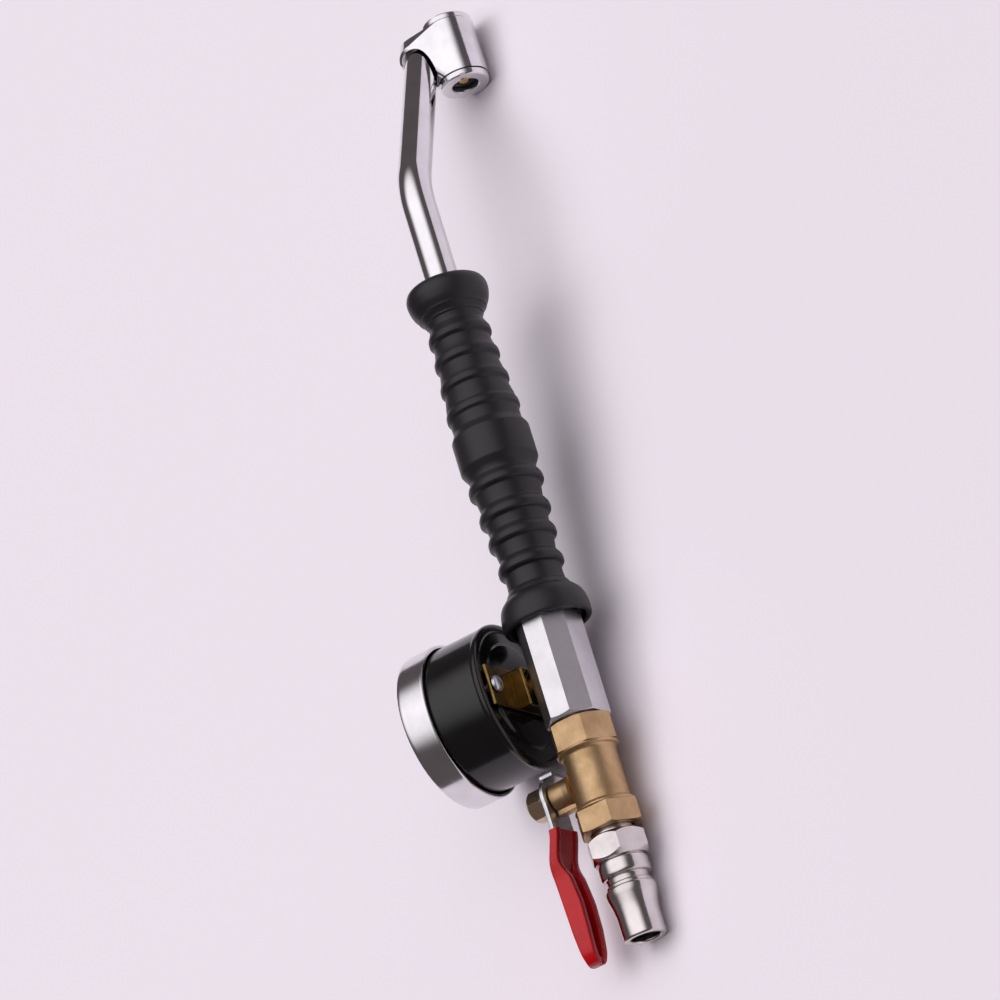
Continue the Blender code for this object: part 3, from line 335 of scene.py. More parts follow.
def spin(outline, steps, fillet=0.2):
    """A bmesh turned about local Z from (radius, height) points in millimetres."""
    closed = not (outline[0][0] == 0 and outline[-1][0] == 0)
    points = soften(outline, fillet, closed)
    shape = bmesh.new()
    rings = []
    for point in points:
        if point.x < 1e-9:
            rings.append([shape.verts.new((0, 0, point.y * MM))])
            continue
        ring = []
        for i in range(steps):
            angle = 2 * math.pi * i / steps
            ring.append(shape.verts.new((point.x * MM * math.cos(angle), point.x * MM * math.sin(angle),
                                         point.y * MM)))
        rings.append(ring)
    pairs = list(zip(rings, rings[1:]))
    if closed:
        pairs.append((rings[-1], rings[0]))
    for first, second in pairs:
        for i in range(steps):
            j = (i + 1) % steps
            corners = []
            for ring, index in ((first, i), (first, j), (second, j), (second, i)):
                vertex = ring[index] if len(ring) > 1 else ring[0]
                if vertex not in corners:
                    corners.append(vertex)
            if len(corners) > 2:
                shape.faces.new(corners)
    bmesh.ops.recalc_face_normals(shape, faces=shape.faces)
    return shape


def new_object(name, shape, axis=None):
    mesh = bpy.data.meshes.new(name)
    shape.to_mesh(mesh)
    shape.free()
    item = bpy.data.objects.new(name, mesh)
    bpy.context.scene.collection.objects.link(item)
    if axis is not None:
        item.matrix_world = axis
    return item


def turned(name, outline, axis, steps=96, fillet=0.2):
    return new_object(name, spin(outline, steps, fillet), axis)


def rod(name, radius, low, high, axis, steps=64):
    return turned(name, [(0, high), (radius, high), (radius, low), (0, low)], axis, steps, 0.0)


def box(name, size, centre, axis, chamfer=0.0, segments=2):
    """A box, with rounded edges when chamfer is given."""
    shape = bmesh.new()
    bmesh.ops.create_cube(shape, size=1.0)
    bmesh.ops.scale(shape, vec=[value * MM for value in size], verts=shape.verts)
    if chamfer:
        bmesh.ops.bevel(shape, geom=list(shape.edges), offset=chamfer * MM, segments=segments,
                        affect="EDGES", profile=0.5)
    bmesh.ops.translate(shape, vec=[value * MM for value in centre], verts=shape.verts)
    return new_object(name, shape, axis)


def plate(name, outline, low, high, axis):
    """A flat outline of (x, y) points, extruded along local Z."""
    shape = bmesh.new()
    face = shape.faces.new([shape.verts.new((x * MM, y * MM, low * MM)) for x, y in outline])
    grown = bmesh.ops.extrude_face_region(shape, geom=[face])
    moved = [element for element in grown["geom"] if isinstance(element, bmesh.types.BMVert)]
    bmesh.ops.translate(shape, vec=(0, 0, (high - low) * MM), verts=moved)
    bmesh.ops.recalc_face_normals(shape, faces=shape.faces)
    return new_object(name, shape, axis)


def arc(centre, radius, start, end, count):
    found = []
    for i in range(count):
        angle = math.radians(start + (end - start) * i / (count - 1))
        found.append((centre[0] + radius * math.cos(angle), centre[1] + radius * math.sin(angle)))
    return found


def bake(item):
    """Applies every modifier for good."""
    bpy.context.view_layer.update()
    graph = bpy.context.evaluated_depsgraph_get()
    mesh = bpy.data.meshes.new_from_object(item.evaluated_get(graph))
    item.modifiers.clear()
    item.data = mesh
    return item


def combine(item, operation, *others):
    """Booleans, applied one after another; the other objects are used up."""
    for other in others:
        boolean = item.modifiers.new("boolean", "BOOLEAN")
        boolean.operation = operation
        boolean.solver = "EXACT"
        boolean.object = other
        bake(item)
        bpy.data.objects.remove(other, do_unlink=True)
    return item


def fuse(item, *others):
    return combine(item, "UNION", *others)


def cut(item, *others):
    return combine(item, "DIFFERENCE", *others)


def bevel(item, width, segments=2, angle=25):
    """Rounds the item's sharp edges."""
    weld = item.modifiers.new("weld", "WELD")
    weld.merge_threshold = MERGE
    round_off = item.modifiers.new("bevel", "BEVEL")
    round_off.width = width * MM
    round_off.segments = segments
    round_off.limit_method = "ANGLE"
    round_off.angle_limit = math.radians(angle)
    round_off.use_clamp_overlap = True
    return bake(item)


def smooth(item, angle, weighted):
    """Smooth shading that breaks at edges sharper than the angle."""
    for polygon in item.data.polygons:
        polygon.use_smooth = True
    item.data.set_sharp_from_angle(angle=math.radians(angle))
    if weighted:
        even = item.modifiers.new("even", "WEIGHTED_NORMAL")
        even.keep_sharp = True
        even.weight = 80
        bake(item)
    return item


def settle(item):
    """Moves the mesh into the row frame, so that its box isn't a tilted one."""
    item.data.transform(item.matrix_world)
    item.matrix_world = Matrix.Identity(4)
    return item


def finish(item, body, slot, covers, material=None, angle=35, weighted=True):
    """Shades and paints a piece, hangs it on the body it rides on and hides the CAD nodes it stands for."""
    smooth(item, angle, weighted)
    item.data.materials.clear()
    item.data.materials.append(MATERIALS[material or slot])
    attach(item, body)
    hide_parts(*covers)
    return item


def hexagon(name, across_flats, low, high, corner, axis, rim, ends=(1, 1)):
    """A hexagonal bar with corners turned down to the rim; ends says which of (low, high) are turned."""
    reach = across_flats / math.sqrt(3)
    top = [(rim, high), (reach + 0.05, high - corner)] if ends[1] else [(reach + 0.05, high)]
    bottom = [(reach + 0.05, low + corner), (rim, low)] if ends[0] else [(reach + 0.05, low)]
    blank = turned(name + "_blank", [(0, high), *top, *bottom, (0, low)], axis, 96, 0.0)
    shape = bmesh.new()
    bmesh.ops.create_cone(shape, cap_ends=True, segments=6, radius1=reach * MM, radius2=reach * MM,
                          depth=(high - low) * MM, matrix=Matrix.Translation((0, 0, (low + high) / 2 * MM)))
    bar = new_object(name, shape, axis)
    return combine(bar, "INTERSECT", blank)


def grid_skin(name, rows, axis, close_rows=False):
    """A closed skin from rings of equal length, capped at both ends."""
    shape = bmesh.new()
    rings = [[shape.verts.new([value * MM for value in point]) for point in ring] for ring in rows]
    for first, second in zip(rings, rings[1:]):
        for i in range(len(first)):
            j = (i + 1) % len(first)
            shape.faces.new((first[i], first[j], second[j], second[i]))
    if close_rows:
        for i in range(len(rings[0])):
            j = (i + 1) % len(rings[0])
            shape.faces.new((rings[-1][i], rings[-1][j], rings[0][j], rings[0][i]))
    else:
        shape.faces.new(rings[0])
        shape.faces.new(rings[-1])
    bmesh.ops.recalc_face_normals(shape, faces=shape.faces)
    return new_object(name, shape, axis)


# ---------------------------------------------------------------- coupler plug and ball valve

def make_plug():
    outline = [(PLUG_BORE_R, PLUG_TAIL_X), (PIPE_THREAD_R - 0.5, PLUG_TAIL_X), (PIPE_THREAD_R, 39.5),
               (PIPE_THREAD_R, 29.8, 0), (7.2, 29.8, 0), (7.2, 23.2, 0), (6.6, 23.0, 0.2), (6.6, 22.5, 0.2),
               (7.1, 22.3, 0.3), (7.25, 21.4, 0.4), (7.25, 18.6, 0.3), (7.0, 17.9, 0.3), (6.1, 17.6, 0.2),
               (6.0, 17.2, 0.3), (6.0, 15.9, 0.2), (6.55, 15.6, 0.15), (6.6, 14.7, 0.15), (7.1, 14.5, 0.3),
               (7.25, 14.0, 0.4), (7.2, 12.7, 1.2), (6.5, 9.4, 2.0), (6.17, 6.6, 1.5), (6.15, 0.1, 0.4),
               (5.8, -0.4, 0.25), (4.7, -0.4, 0.3), (PLUG_BORE_R, 0.1, 0.2)]
    plug = turned("plug", outline, LINE, 96, 0.25)
    bar = hexagon("plug_hex", PLUG_HEX_AF, *PLUG_HEX_X, 1.5, LINE, rim=7.55)
    bar = cut(bar, rod("plug_hex_bore", 4.7, 21, 32, LINE))
    bevel(bar, 0.28)
    fuse(plug, bar)
    finish(plug, "frame", "nickel", ["coupler_plug"])


def make_valve():
    low, high = VALVE_X
    core = VALVE_CORE_R
    outline = [(PIPE_SOCKET_R, high - 0.4, 0), (core, high - 0.4, 0), (core, 56.6, 0), (8.95, 56.75, 0.2),
               (9.1, 56.3, 0.2), (8.9, 55.8, 0.3), (8.1, 55.45, 0.3), (VALVE_BODY_R, 54.9, 0.4),
               (VALVE_BODY_R, 40.1, 0.4), (8.1, 39.6, 0.3), (8.75, 39.3, 0.25), (8.9, 38.8, 0.25),
               (8.6, 38.35, 0.2), (core, 38.3, 0), (core, low + 0.4, 0), (PIPE_SOCKET_R, low + 0.4, 0),
               (PIPE_SOCKET_R, 40.6, 0), (5.5, 40.6, 0), (5.5, 52.7, 0), (3.0, 52.7, 0), (3.0, 56.6, 0),
               (PIPE_SOCKET_R, 57.2, 0)]
    body = turned("ball_valve", outline, LINE, 96, 0.2)
    for name, span, ends in (("lower_hex", (low, 38.4), (1, 0)), ("upper_hex", (56.6, high), (0, 1))):
        bar = hexagon(name, VALVE_HEX_AF, *span, 0.45, LINE, rim=8.8, ends=ends)
        bar = cut(bar, rod(name + "_bore", PIPE_SOCKET_R + 0.05, span[0] - 1, span[1] + 1, LINE))
        bevel(bar, 0.3)
        fuse(body, bar)
    boss = turned("boss", [(0, BOSS_Y), (4.2, BOSS_Y), (4.3, 9.5), (4.7, 7.2, 0.8), (6.0, 6.4, 0.5),
                           (0, 6.4)], STEM, 64, 0.25)
    lug = box("lug", (2.0, 3.2, BOSS_Y - 6.1), (-4.6, 0, (BOSS_Y + 6.0) / 2), STEM, 0.5)
    bore = STEM_BORE_R
    hollow = turned("boss_bore", [(0, BOSS_Y + 1), (bore, BOSS_Y + 1), (bore, 12.0), (3.1, 12.0),
                                  (3.1, 9.2), (bore, 9.2), (bore, 3.0), (0, 3.0)], STEM, 48, 0.0)
    fuse(body, boss, lug)
    cut(body, hollow)
    finish(body, "frame", "forged_brass", ["valve_body"])


def along_handle(x):
    """Rise, half width and flange depth at a station, in proportion between the named ones."""
    for low, high in zip(HANDLE[1:], HANDLE):
        if x >= low[0]:
            t = min((x - low[0]) / (high[0] - low[0]), 1.0)
            return [a + (b - a) * t for a, b in zip(low[1:], high[1:])]
    return list(HANDLE[-1][1:])


def channel(inner, outer, half, flange, wall, corner):
    """Points round a channel's section in (z, y), with its outer corners rounded."""
    left = arc((-half + corner, outer - corner), corner, 180, 90, 6)
    right = arc((half - corner, outer - corner), corner, 90, 0, 6)
    edge = min(wall, 0.9) * 0.45
    foot = inner - flange
    return [*left, *right, (half, foot + edge), (half - edge, foot), (half - wall + edge, foot),
            (half - wall, foot + edge), (half - wall, inner - 0.2), (half - wall - 0.2, inner),
            (-half + wall + 0.2, inner), (-half + wall, inner - 0.2), (-half + wall, foot + edge),
            (-half + wall - edge, foot), (-half + edge, foot), (-half, foot + edge)]


def handle(name, grow, low, high, corner):
    """The handle's channel between two stations, grown by a thickness all round.

    Near the tip the sides draw in along a quarter circle and the channel closes.
    """
    count = 56
    round_tip, closed_tip = 2.4, 1.6
    rows = []
    for i in range(count + 1):
        x = high + (low - high) * i / count
        near = [along_handle(x + step) for step in (-0.9, -0.45, 0.0, 0.45, 0.9)]
        rise, half, flange = [sum(values) / len(near) for values in zip(*near)]
        from_tip = x - low
        if from_tip < round_tip:
            half -= 1.5 * (1 - math.sqrt(max(1 - ((round_tip - from_tip) / round_tip) ** 2, 0.0)))
        wall = LEVER_T + 2 * grow if grow < SLEEVE_OUT else SLEEVE_EDGE
        closing = max(0.0, 1 - from_tip / closed_tip)
        side = min(wall + closing * half, half + grow - 0.35)
        inner = LEVER_Y + rise - grow
        ring = channel(inner, inner + LEVER_T + 2 * grow, half + grow, flange + 0.25, side, corner)
        rows.append([(x, y, z) for z, y in ring])
    return grid_skin(name, rows, TOOL)


def make_lever():
    tip = HANDLE[-1][0]
    steel = handle("lever_steel", 0.0, tip, 39.6, 0.5)
    head = [(-9.6, -5.75), *arc((0, 0), LEVER_HEAD_R, -107, 107, 40), (-9.6, 5.75)]
    disc = plate("lever_disc", head, LEVER_Y, LEVER_Y + LEVER_T, STEM)
    tab = box("lever_tab", (1.3, 7.0, 4.4), (LEVER_HEAD_R, 0, LEVER_Y + LEVER_T - 2.25), STEM, 0.35)
    bevel(disc, 0.3)
    fuse(steel, disc, tab)
    cut(steel, rod("lever_hole", 2.2, LEVER_Y - 2, LEVER_Y + 4, STEM, 40))
    settle(steel)
    finish(steel, "lever", "zinc_steel", ["valve_lever"])
    sleeve = handle("vinyl", SLEEVE_OUT, tip - 1.25, SLEEVE_X, 0.8)
    cut(sleeve, handle("vinyl_hollow", SLEEVE_GAP, tip - SLEEVE_GAP, SLEEVE_X + 3.0, 0.5))
    settle(sleeve)
    finish(sleeve, "lever", "red_vinyl", ["lever_sleeve"], angle=60)
    nut = hexagon("nut", 8.3, LEVER_Y + LEVER_T + 0.3, 21.9, 1.1, STEM, rim=3.7)
    cut(nut, rod("nut_bore", 2.05, 15, 25, STEM, 40))
    bevel(nut, 0.22)
    finish(nut, "lever", "turned_brass", ["lever_nut"], material="nut_brass")
    stem = turned("stem", [(0, 22.6), (1.5, 22.6), (1.9, 22.2), (1.9, 14.3), (2.3, 14.1), (2.3, 11.6),
                           (1.7, 11.6), (1.7, 9.6), (2.3, 9.6), (2.3, 4.6), (0, 4.6)], STEM, 48, 0.1)
    finish(stem, "lever", "turned_brass", ["valve_stem"])


# ---------------------------------------------------------------- block, tube and grip

def make_block():
    low, high = BLOCK_X
    wide, deep = BLOCK_HALF
    inner_wide, inner_deep = wide - BLOCK_CORNER, deep - BLOCK_CORNER
    corners = [(-inner_wide, -deep), (inner_wide, -deep), (wide, -inner_deep), (wide, inner_deep),
               (inner_wide, deep), (-inner_wide, deep), (-wide, inner_deep), (-wide, -inner_deep)]
    block = plate("block", corners, low, high, LINE)
    blank = turned("block_blank", [(0, high), (9.0, high), (10.7, high - 1.4), (10.7, low + 1.2),
                                   (9.2, low), (0, low)], LINE, 96, 0.0)
    combine(block, "INTERSECT", blank)
    nipple = rod("nipple", PIPE_THREAD_R, 58.2, low + 1, LINE)
    bore = turned("block_bore", [(0, high + 1), (5.3, high + 1), (5.3, 87.6), (3.0, 87.6), (3.0, 57.2),
                                 (0, 57.2)], LINE, 64, 0.0)
    port = turned("block_port", [(0, 16), (4.9, 16), (4.9, 3.6), (1.4, 3.6), (1.4, 0), (0, 0)],
                  GAUGE, 48, 0.0)
    bevel(block, 1.9, 8)
    fuse(block, nipple)
    cut(block, bore, port)
    finish(block, "frame", "satin_steel", ["manifold_block"])


def sweep(name, points, radius, wall, steps, axis):
    """A round tube along points that lie in one plane with local Y across it."""
    rows = []
    count = len(points)
    for i, point in enumerate(points):
        here = Vector(point)
        before = Vector(points[max(i - 1, 0)])
        after = Vector(points[min(i + 1, count - 1)])
        ahead = (after - before).normalized()
        side = Vector((0, 1, 0))
        up = ahead.cross(side)
        rows.append((here, side, up))

    def ring(row, size):
        here, side, up = row
        return [here + size * (math.cos(a) * side + math.sin(a) * up)
                for a in (2 * math.pi * i / steps for i in range(steps))]

    outer = [ring(row, radius) for row in rows]
    inner = [ring(row, radius - wall) for row in reversed(rows)]
    return grid_skin(name, outer + inner, axis, close_rows=True)


def make_tube():
    """The tube: straight, one round bend, straight."""
    reach = BEND_RADIUS * math.tan(math.radians(BEND_ANGLE / 2))
    points = [(TUBE_START_X + i * (BEND_X - reach - TUBE_START_X) / 12, 0, 0) for i in range(12)]
    count = 20
    for i in range(count + 1):
        angle = math.radians(BEND_ANGLE * i / count)
        points.append((BEND_X - reach + BEND_RADIUS * math.sin(angle), 0,
                       -BEND_RADIUS * (1 - math.cos(angle))))
    tilt = math.radians(BEND_ANGLE)
    for i in range(1, 7):
        run = reach + (TUBE_END - reach) * i / 6
        points.append((BEND_X + run * math.cos(tilt), 0, -run * math.sin(tilt)))
    tube = sweep("tube", points, TUBE_R, TUBE_WALL, 64, TOOL)
    settle(tube)
    finish(tube, "frame", "chrome", ["bent_tube"], weighted=False)


def rib(station, radius, valley):
    """A rounded ring on the grip."""
    return [(valley, station + 3.2, 0.6), (radius - 0.5, station + 1.9, 0.5), (radius, station + 0.9, 0.5),
            (radius, station - 0.7, 0.35), (radius - 0.4, station - 1.15, 0.25),
            (valley, station - 1.6, 0.3)]


def make_grip():
    outline = [(5.45, 206.0, 0.1), (9.5, 206.0, 0.4), (11.6, 205.3, 0.8), (12.35, 203.5, 0.8),
               (12.3, 201.4, 0.8), (11.6, 198.9, 0.9), (10.5, 197.2, 0.4), (10.3, 196.6, 0.2),
               (9.9, 196.4, 0.2), (9.0, 195.2, 0.3), (8.85, 194.6, 0.2), (8.45, 194.4, 0.2),
               (8.1, 192.6, 0.8)]
    for station, radius, valley in ((188.7, 9.45, 8.35), (181.0, 9.8, 8.85), (172.8, 10.3, 9.45),
                                    (163.9, 10.95, 10.3)):
        outline += rib(station, radius, valley)
    outline += [(10.2, 159.0, 0.6), (11.35, 156.9, 0.4), (11.6, 156.4, 0.4), (11.6, 146.6, 0.4),
                (11.35, 146.1, 0.4), (10.3, 144.4, 0.6)]
    for station, radius, valley in ((139.6, 11.15, 9.85), (130.3, 10.6, 9.25), (122.6, 10.1, 8.85),
                                    (113.7, 9.7, 8.3)):
        outline += rib(station, radius, valley)
    outline += [(8.35, 109.6, 0.5), (8.5, 107.4, 0.5), (8.7, 106.9, 0.2), (9.1, 106.7, 0.2),
                (9.8, 105.4, 0.3), (10.0, 104.9, 0.2), (10.5, 104.7, 0.2), (12.0, 103.1, 0.9),
                (12.7, 101.2, 1.0), (13.1, 98.4, 1.2), (12.95, 96.2, 0.5), (12.5, 95.5, 0.3),
                (11.3, 95.5, 0.3), (11.3, 98.1, 0), (5.45, 98.1, 0)]
    grip = turned("grip", outline, LINE, 128, 0.3)
    finish(grip, "frame", "black_rubber", ["rubber_grip"], angle=50, weighted=False)


# ---------------------------------------------------------------- gauge

def make_gauge():
    back, front, r = CASE_BACK, CASE_FRONT, CASE_R
    case = turned("case", [(r - 1, front, 0.2), (r, front, 0.2), (r, back + 2.2, 0.3),
                           (r + 0.25, back + 1.5, 0.4), (r + 0.15, back + 0.6, 0.4),
                           (r - 0.6, back + 0.1, 0.5), (r - 1.9, back + 0.1, 0.3),
                           (r - 2.5, back + 0.7, 0.3), (r - 6.0, back + 0.7, 0.3), (r - 6.6, back, 0.3),
                           (5.4, back, 0.1), (5.4, back + 1, 0.1), (r - 7.1, back + 1, 0),
                           (r - 6.5, back + 1.7, 0), (r - 2.6, back + 1.7, 0), (r - 1, back + 2.8, 0)],
                  GAUGE, 160, 0.25)
    for side in (-1, 1):
        axis = GAUGE @ local(at=(0, side * MOUNT_SCREW, 0))
        cut(case, rod("screw_hole", 1.6, back - 1, back + 3, axis, 32))
    finish(case, "frame", "black_enamel", ["gauge_case"], weighted=False)
    rear, face = BEZEL_Y
    big = BEZEL_R
    bezel = turned("bezel", [(20.6, face - 0.6, 0.2), (21.1, face - 0.05, 0.4), (big - 0.9, face, 0.6),
                             (big - 0.15, face - 0.45, 0.5), (big, face - 1.3, 0.4), (big, rear + 0.5, 0.3),
                             (big - 0.25, rear, 0.2), (big - 1.05, rear, 0.2), (big - 1.05, 40.5, 0),
                             (20.6, 40.5, 0)], GAUGE, 160, 0.2)
    finish(bezel, "frame", "chrome", ["gauge_bezel"], material="bezel", weighted=False)


def make_gauge_mount():
    back = CASE_BACK
    top = back - 0.3
    socket = turned("socket", [(0, back + 7.2), (5.0, back + 7.2), (5.0, top - 0.6), (5.8, top - 0.6),
                               (5.8, 9.0), (4.6, 9.0), (4.6, 4.2), (0, 4.2)], GAUGE, 64, 0.0)
    square = box("square", (12.0, 12.0, 4.2), (0, 0, 11.6), GAUGE, 0.6, 3)
    flange = box("flange", (12.4, 39.0, 1.2), (0, 0, top - 0.6), GAUGE, 0.3, 2)
    fuse(socket, square, flange)
    cut(socket, rod("socket_bore", 1.3, 3, back + 8, GAUGE, 32))
    for side in (-1, 1):
        axis = GAUGE @ local(at=(0, side * MOUNT_SCREW, 0))
        cut(socket, rod("flange_hole", 1.5, back - 4, back + 2, axis, 32))
    # The socket gets the brass with painted shade, darkened for the shadow behind the gauge case.
    finish(socket, "frame", "turned_brass", ["gauge_socket"], material="socket_brass_painted_shade")
    for side, name in ((1, "case_screw_lower"), (-1, "case_screw_upper")):
        axis = GAUGE @ local(at=(0, side * MOUNT_SCREW, 0), turn=(0, 0, 25 * side))
        high, low = top - 1.5, top - 2.9
        screw = turned(name + "_look", [(0, back + 2.2), (1.2, back + 2.2), (1.2, high), (2.4, high),
                                        (2.4, low + 0.5, 0.5), (1.6, low, 0.6), (0, low)], axis, 48, 0.1)
        cut(screw, box("slot", (6, 0.7, 1.0), (0, 0, low), axis))
        finish(screw, "frame", "zinc_steel", [name])


def make_dial():
    """The dial plate, and one piece with its printed marks and numbers a hair above it."""
    plate_look = turned("dial", [(0, DIAL_TOP), (DIAL_R, DIAL_TOP), (DIAL_R, DIAL_TOP - 0.4),
                                 (0, DIAL_TOP - 0.4)], GAUGE, 128, 0.05)
    for x, radius in ((0.0, 1.4), (6.0, 0.95), (-7.0, 0.95)):
        cut(plate_look, rod("dial_hole", radius, 28, 32, GAUGE @ local(at=(x, 0, 0)), 32))
    finish(plate_look, "frame", "white_dial", ["dial_plate"])
    printed = DIAL_TOP + DIAL_PRINT_LIFT
    shape = bmesh.new()
    for i in range(DIAL_STEPS * 5 + 1):
        angle = math.radians(DIAL_START - DIAL_SWEEP * i / (DIAL_STEPS * 5))
        long_mark = i % 5 == 0
        length, width = (2.6, 0.42) if long_mark else (1.4, 0.22)
        middle = DIAL_MARK_R - length / 2
        turn = Matrix.Rotation(angle, 4, "Z") @ Matrix.Translation((middle * MM, 0, printed * MM))
        size = Matrix.Diagonal((length * MM, width * MM, 0.06 * MM, 1.0))
        bmesh.ops.create_cube(shape, size=1.0, matrix=turn @ size)
    marks = new_object("dial_marks", shape, GAUGE)
    for i in range(0, DIAL_STEPS + 1, 2):
        angle = math.radians(DIAL_START - DIAL_SWEEP * i / DIAL_STEPS)
        letters = bpy.data.curves.new("number", "FONT")
        letters.body = str(i)
        letters.size = DIAL_NUMBER_SIZE * MM
        letters.extrude = 0.03 * MM
        letters.align_x = "CENTER"
        letters.align_y = "CENTER"
        number = bpy.data.objects.new("number", letters)
        bpy.context.scene.collection.objects.link(number)
        at = (DIAL_NUMBER_R * math.cos(angle), DIAL_NUMBER_R * math.sin(angle), printed)
        number.matrix_world = GAUGE @ local(at=at, turn=(0, 0, 180))
        bake_text(number, marks)
    finish(marks, "frame", "pointer_black", ["dial_plate"], weighted=False)


def bake_text(letters, into):
    """Adds a text object's shape to a mesh object and removes the text."""
    bpy.context.view_layer.update()
    graph = bpy.context.evaluated_depsgraph_get()
    mesh = bpy.data.meshes.new_from_object(letters.evaluated_get(graph))
    mesh.transform(into.matrix_world.inverted() @ letters.matrix_world)
    shape = bmesh.new()
    shape.from_mesh(into.data)
    shape.from_mesh(mesh)
    shape.to_mesh(into.data)
    shape.free()
    bpy.data.objects.remove(letters, do_unlink=True)


# ---------------------------------------------------------------- chuck head

def make_head():
    """The casting is a skin round the head's cylinder and the tube socket, cut level on top."""
    tilt = math.radians(BEND_ANGLE)
    along = Vector((math.cos(tilt), 0.0, -math.sin(tilt)))
    across = Vector((math.sin(tilt), 0.0, math.cos(tilt)))
    face = Vector((BEND_X, 0.0, 0.0)) + along * SOCKET_FACE
    top_x = HEAD_AT[0] + HEAD_HALF
    shape = bmesh.new()
    for y, z in arc((HEAD_AT[1], HEAD_AT[2]), HEAD_R, 0, 356.25, 96):
        shape.verts.new((top_x * MM, y * MM, z * MM))
        shape.verts.new(((HEAD_AT[0] - HEAD_HALF) * MM, y * MM, z * MM))
    for u, v in arc((0, 0), SOCKET_R, 0, 355, 72):
        rim = face + across * u + Vector((0.0, v, 0.0))
        shape.verts.new(rim * MM)
        shape.verts.new((rim + along * ((top_x - rim.x) / along.x)) * MM)
    bmesh.ops.convex_hull(shape, input=shape.verts)
    loose = [vertex for vertex in shape.verts if not vertex.link_faces]
    bmesh.ops.delete(shape, geom=loose, context="VERTS")
    bmesh.ops.recalc_face_normals(shape, faces=shape.faces)
    body = new_object("chuck", shape, TOOL)
    relief = rod("tube_relief", 6.0, SOCKET_FACE - 25, SOCKET_FACE + 0.6, UPPER)
    bore = turned("tube_bore", [(0, SOCKET_FACE + 5.6), (3.3, SOCKET_FACE + 5.6), (3.3, TUBE_END + 0.3),
                                (5.35, TUBE_END + 0.3), (5.35, SOCKET_FACE - 1), (0, SOCKET_FACE - 1)],
                  UPPER, 64, 0.0)
    cut(body, relief, bore)
    for turn in ((0, 0, 0), (180, 0, 0)):
        cut(body, turned("mouth", [(0, HEAD_HALF + 1), (7.0, HEAD_HALF + 1), (7.0, 8.0), (5.75, 8.0),
                                   (5.75, 5.7), (3.2, 5.7), (3.2, 0.5), (0, 0.5)],
                         HEAD @ local(turn=turn), 64, 0.0))
    cut(body, rod("web_hole", 0.9, -2, 2, HEAD, 24))
    cut(body, rod("duct", 1.1, 0, -HEAD_AT[1] - 1.8, HEAD @ local(at=(0, 0, 4.3), turn=(-90, 0, 0)), 24))
    settle(body)
    finish(body, "frame", "chrome", ["chuck_body"], material="cast_chrome", angle=28)
    for name, turn in (("push", (0, 0, 0)), ("pull", (180, 0, 25.5))):
        axis = HEAD @ local(turn=turn)
        ring = turned("ring", [(4.1, 11.0, 0.2), (4.5, RING_FACE, 0.3), (7.35, RING_FACE, 0.3),
                               (RING_R, 10.9, 0.3), (RING_R, 9.3, 0.1), (6.75, 9.3, 0.1), (6.75, 8.2, 0),
                               (5.8, 8.2, 0), (5.8, 9.6, 0), (4.1, 9.6, 0.1)], axis, 96, 0.1)
        cut(ring, box("slots", (20, 1.8, 1.5), (0, 0, RING_FACE), axis, 0.12))
        finish(ring, "frame", "chrome", [f"retaining_ring_{name}"], material="bezel")
        seal = turned("seal", [(2.1, 9.3, 0.3), (5.5, 9.3, 0.1), (5.5, 6.0, 0.1), (2.1, 6.0, 0.1)],
                      axis, 64, 0.1)
        finish(seal, "frame", "seal_rubber", [f"chuck_seal_{name}"])
        pin = turned("pin", [(0, 9.6), (1.45, 9.6, 0.2), (1.7, 9.3, 0.2), (1.7, 5.65, 0), (2.7, 5.65, 0),
                             (2.7, 4.9, 0), (0, 4.9)], axis, 48, 0.1)
        finish(pin, f"pin_{name}", "turned_brass", [f"depressor_pin_{name}"])


# ---------------------------------------------------------------- carried-over CAD nodes

def paint_rest():
    """Gives every CAD node that is still shown a procedural material of its slot."""
    slots = {entry["node"]: entry["material_slot"] for entry in RECORD["subparts"]}
    for name, item in frame["nodes"].items():
        if item.hide_render:
            continue
        item.data.materials.clear()
        item.data.materials.append(MATERIALS[slots[name]])


# ---------------------------------------------------------------- studio

# The camera in the tool's frame.
CAMERA_AT = (-306.7, -492.8, 1004.5)
CAMERA_RIGHT = (-0.274429, -0.808572, -0.52048)
CAMERA_UP = (0.888303, -0.420441, 0.184792)
CAMERA_BACK = (-0.368249, -0.411631, 0.833638)
LENS = 150.58
SOFTBOX = tuple((TOOL.to_3x3() @ Vector((0.37, 0.10, 0.92))).normalized())
SOFTBOX_EDGE = (14.0, 56.0)         # degrees from its middle: fully bright, and no longer bright
SOFTBOX_COLOUR = (1.30, 1.25, 1.29)
SURROUND_COLOUR = (0.10, 0.086, 0.090)
KEY_POWER = 12
FILL_POWER = 47
LIGHT_COLOUR = (1.0, 0.985, 1.0)
FLOOR_SIZE = 3.0


def make_camera():
    data = bpy.data.cameras.new("camera")
    data.lens = LENS
    data.sensor_width = 36.0
    data.clip_end = 20.0
    camera = bpy.data.objects.new("camera", data)
    turn = Matrix((CAMERA_RIGHT, CAMERA_UP, CAMERA_BACK)).transposed().to_4x4()
    camera.matrix_world = TOOL @ Matrix.Translation(Vector(CAMERA_AT) * MM) @ turn
    bpy.context.scene.collection.objects.link(camera)
    bpy.context.scene.camera = camera


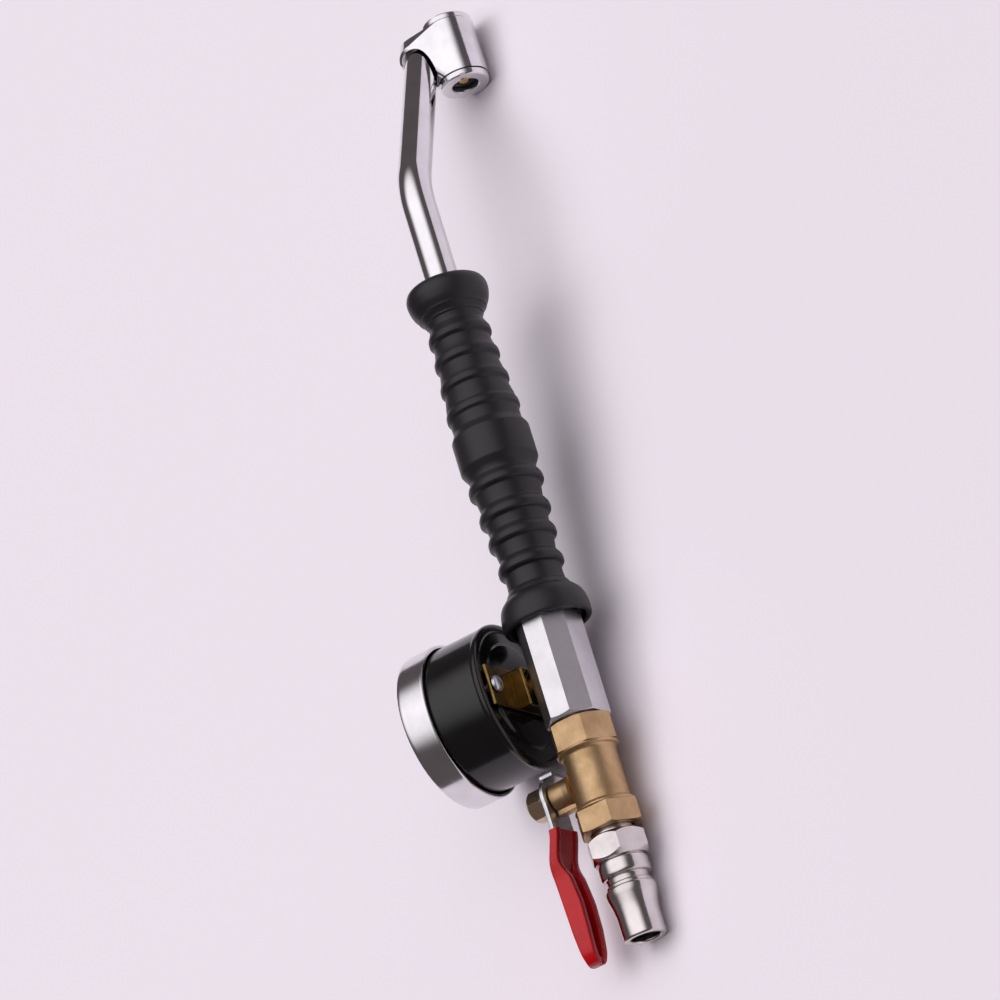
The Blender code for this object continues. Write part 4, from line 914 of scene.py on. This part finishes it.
def area_light(name, at, size, power):
    """A square light that faces the origin."""
    data = bpy.data.lights.new(name, "AREA")
    data.shape = "SQUARE"
    data.size = size
    data.energy = power
    data.color = LIGHT_COLOUR
    light = bpy.data.objects.new(name, data)
    light.location = at
    light.rotation_euler = (-Vector(at)).to_track_quat("-Z", "Y").to_euler()
    bpy.context.scene.collection.objects.link(light)
    return light


def make_world(scene):
    """Dark surroundings with one large soft bright region overhead."""
    world = bpy.data.worlds.new("studio")
    world.use_nodes = True
    tree = world.node_tree
    source = tree.nodes.new("ShaderNodeTexCoord")
    towards = tree.nodes.new("ShaderNodeVectorMath")
    towards.operation = "DOT_PRODUCT"
    towards.inputs[1].default_value = SOFTBOX
    tree.links.new(source.outputs["Generated"], towards.inputs[0])
    spread = tree.nodes.new("ShaderNodeMapRange")
    spread.interpolation_type = "SMOOTHERSTEP"
    spread.inputs["From Min"].default_value = math.cos(math.radians(SOFTBOX_EDGE[1]))
    spread.inputs["From Max"].default_value = math.cos(math.radians(SOFTBOX_EDGE[0]))
    tree.links.new(towards.outputs["Value"], spread.inputs["Value"])
    colour = blend_colour(tree, spread.outputs["Result"], SURROUND_COLOUR, SOFTBOX_COLOUR)
    tree.links.new(colour, tree.nodes["Background"].inputs["Color"])
    scene.world = world


def make_studio():
    """A pale floor under a soft key light from one side and a wide fill from above."""
    scene = bpy.context.scene
    scene.view_settings.view_transform = "Standard"
    make_world(scene)
    shape = bmesh.new()
    bmesh.ops.create_grid(shape, x_segments=1, y_segments=1, size=FLOOR_SIZE)
    floor = new_object("floor", shape)
    floor.data.materials.append(MATERIALS["floor"])
    left = TOOL.to_3x3() @ -Vector(CAMERA_RIGHT)
    side = Vector((left.x, left.y, 0)).normalized()
    key = area_light("key", side * 1.3 + Vector((0, 0, 2.6)), 1.5, KEY_POWER)
    fill = area_light("fill", (0.1, 0.2, 3.2), 3.0, FILL_POWER)
    for light in (key, fill):
        light.visible_glossy = False


def main():
    make_plug()
    make_valve()
    make_lever()
    make_block()
    make_tube()
    make_grip()
    make_gauge()
    make_gauge_mount()
    make_dial()
    make_head()
    paint_rest()
    make_camera()
    make_studio()


main()
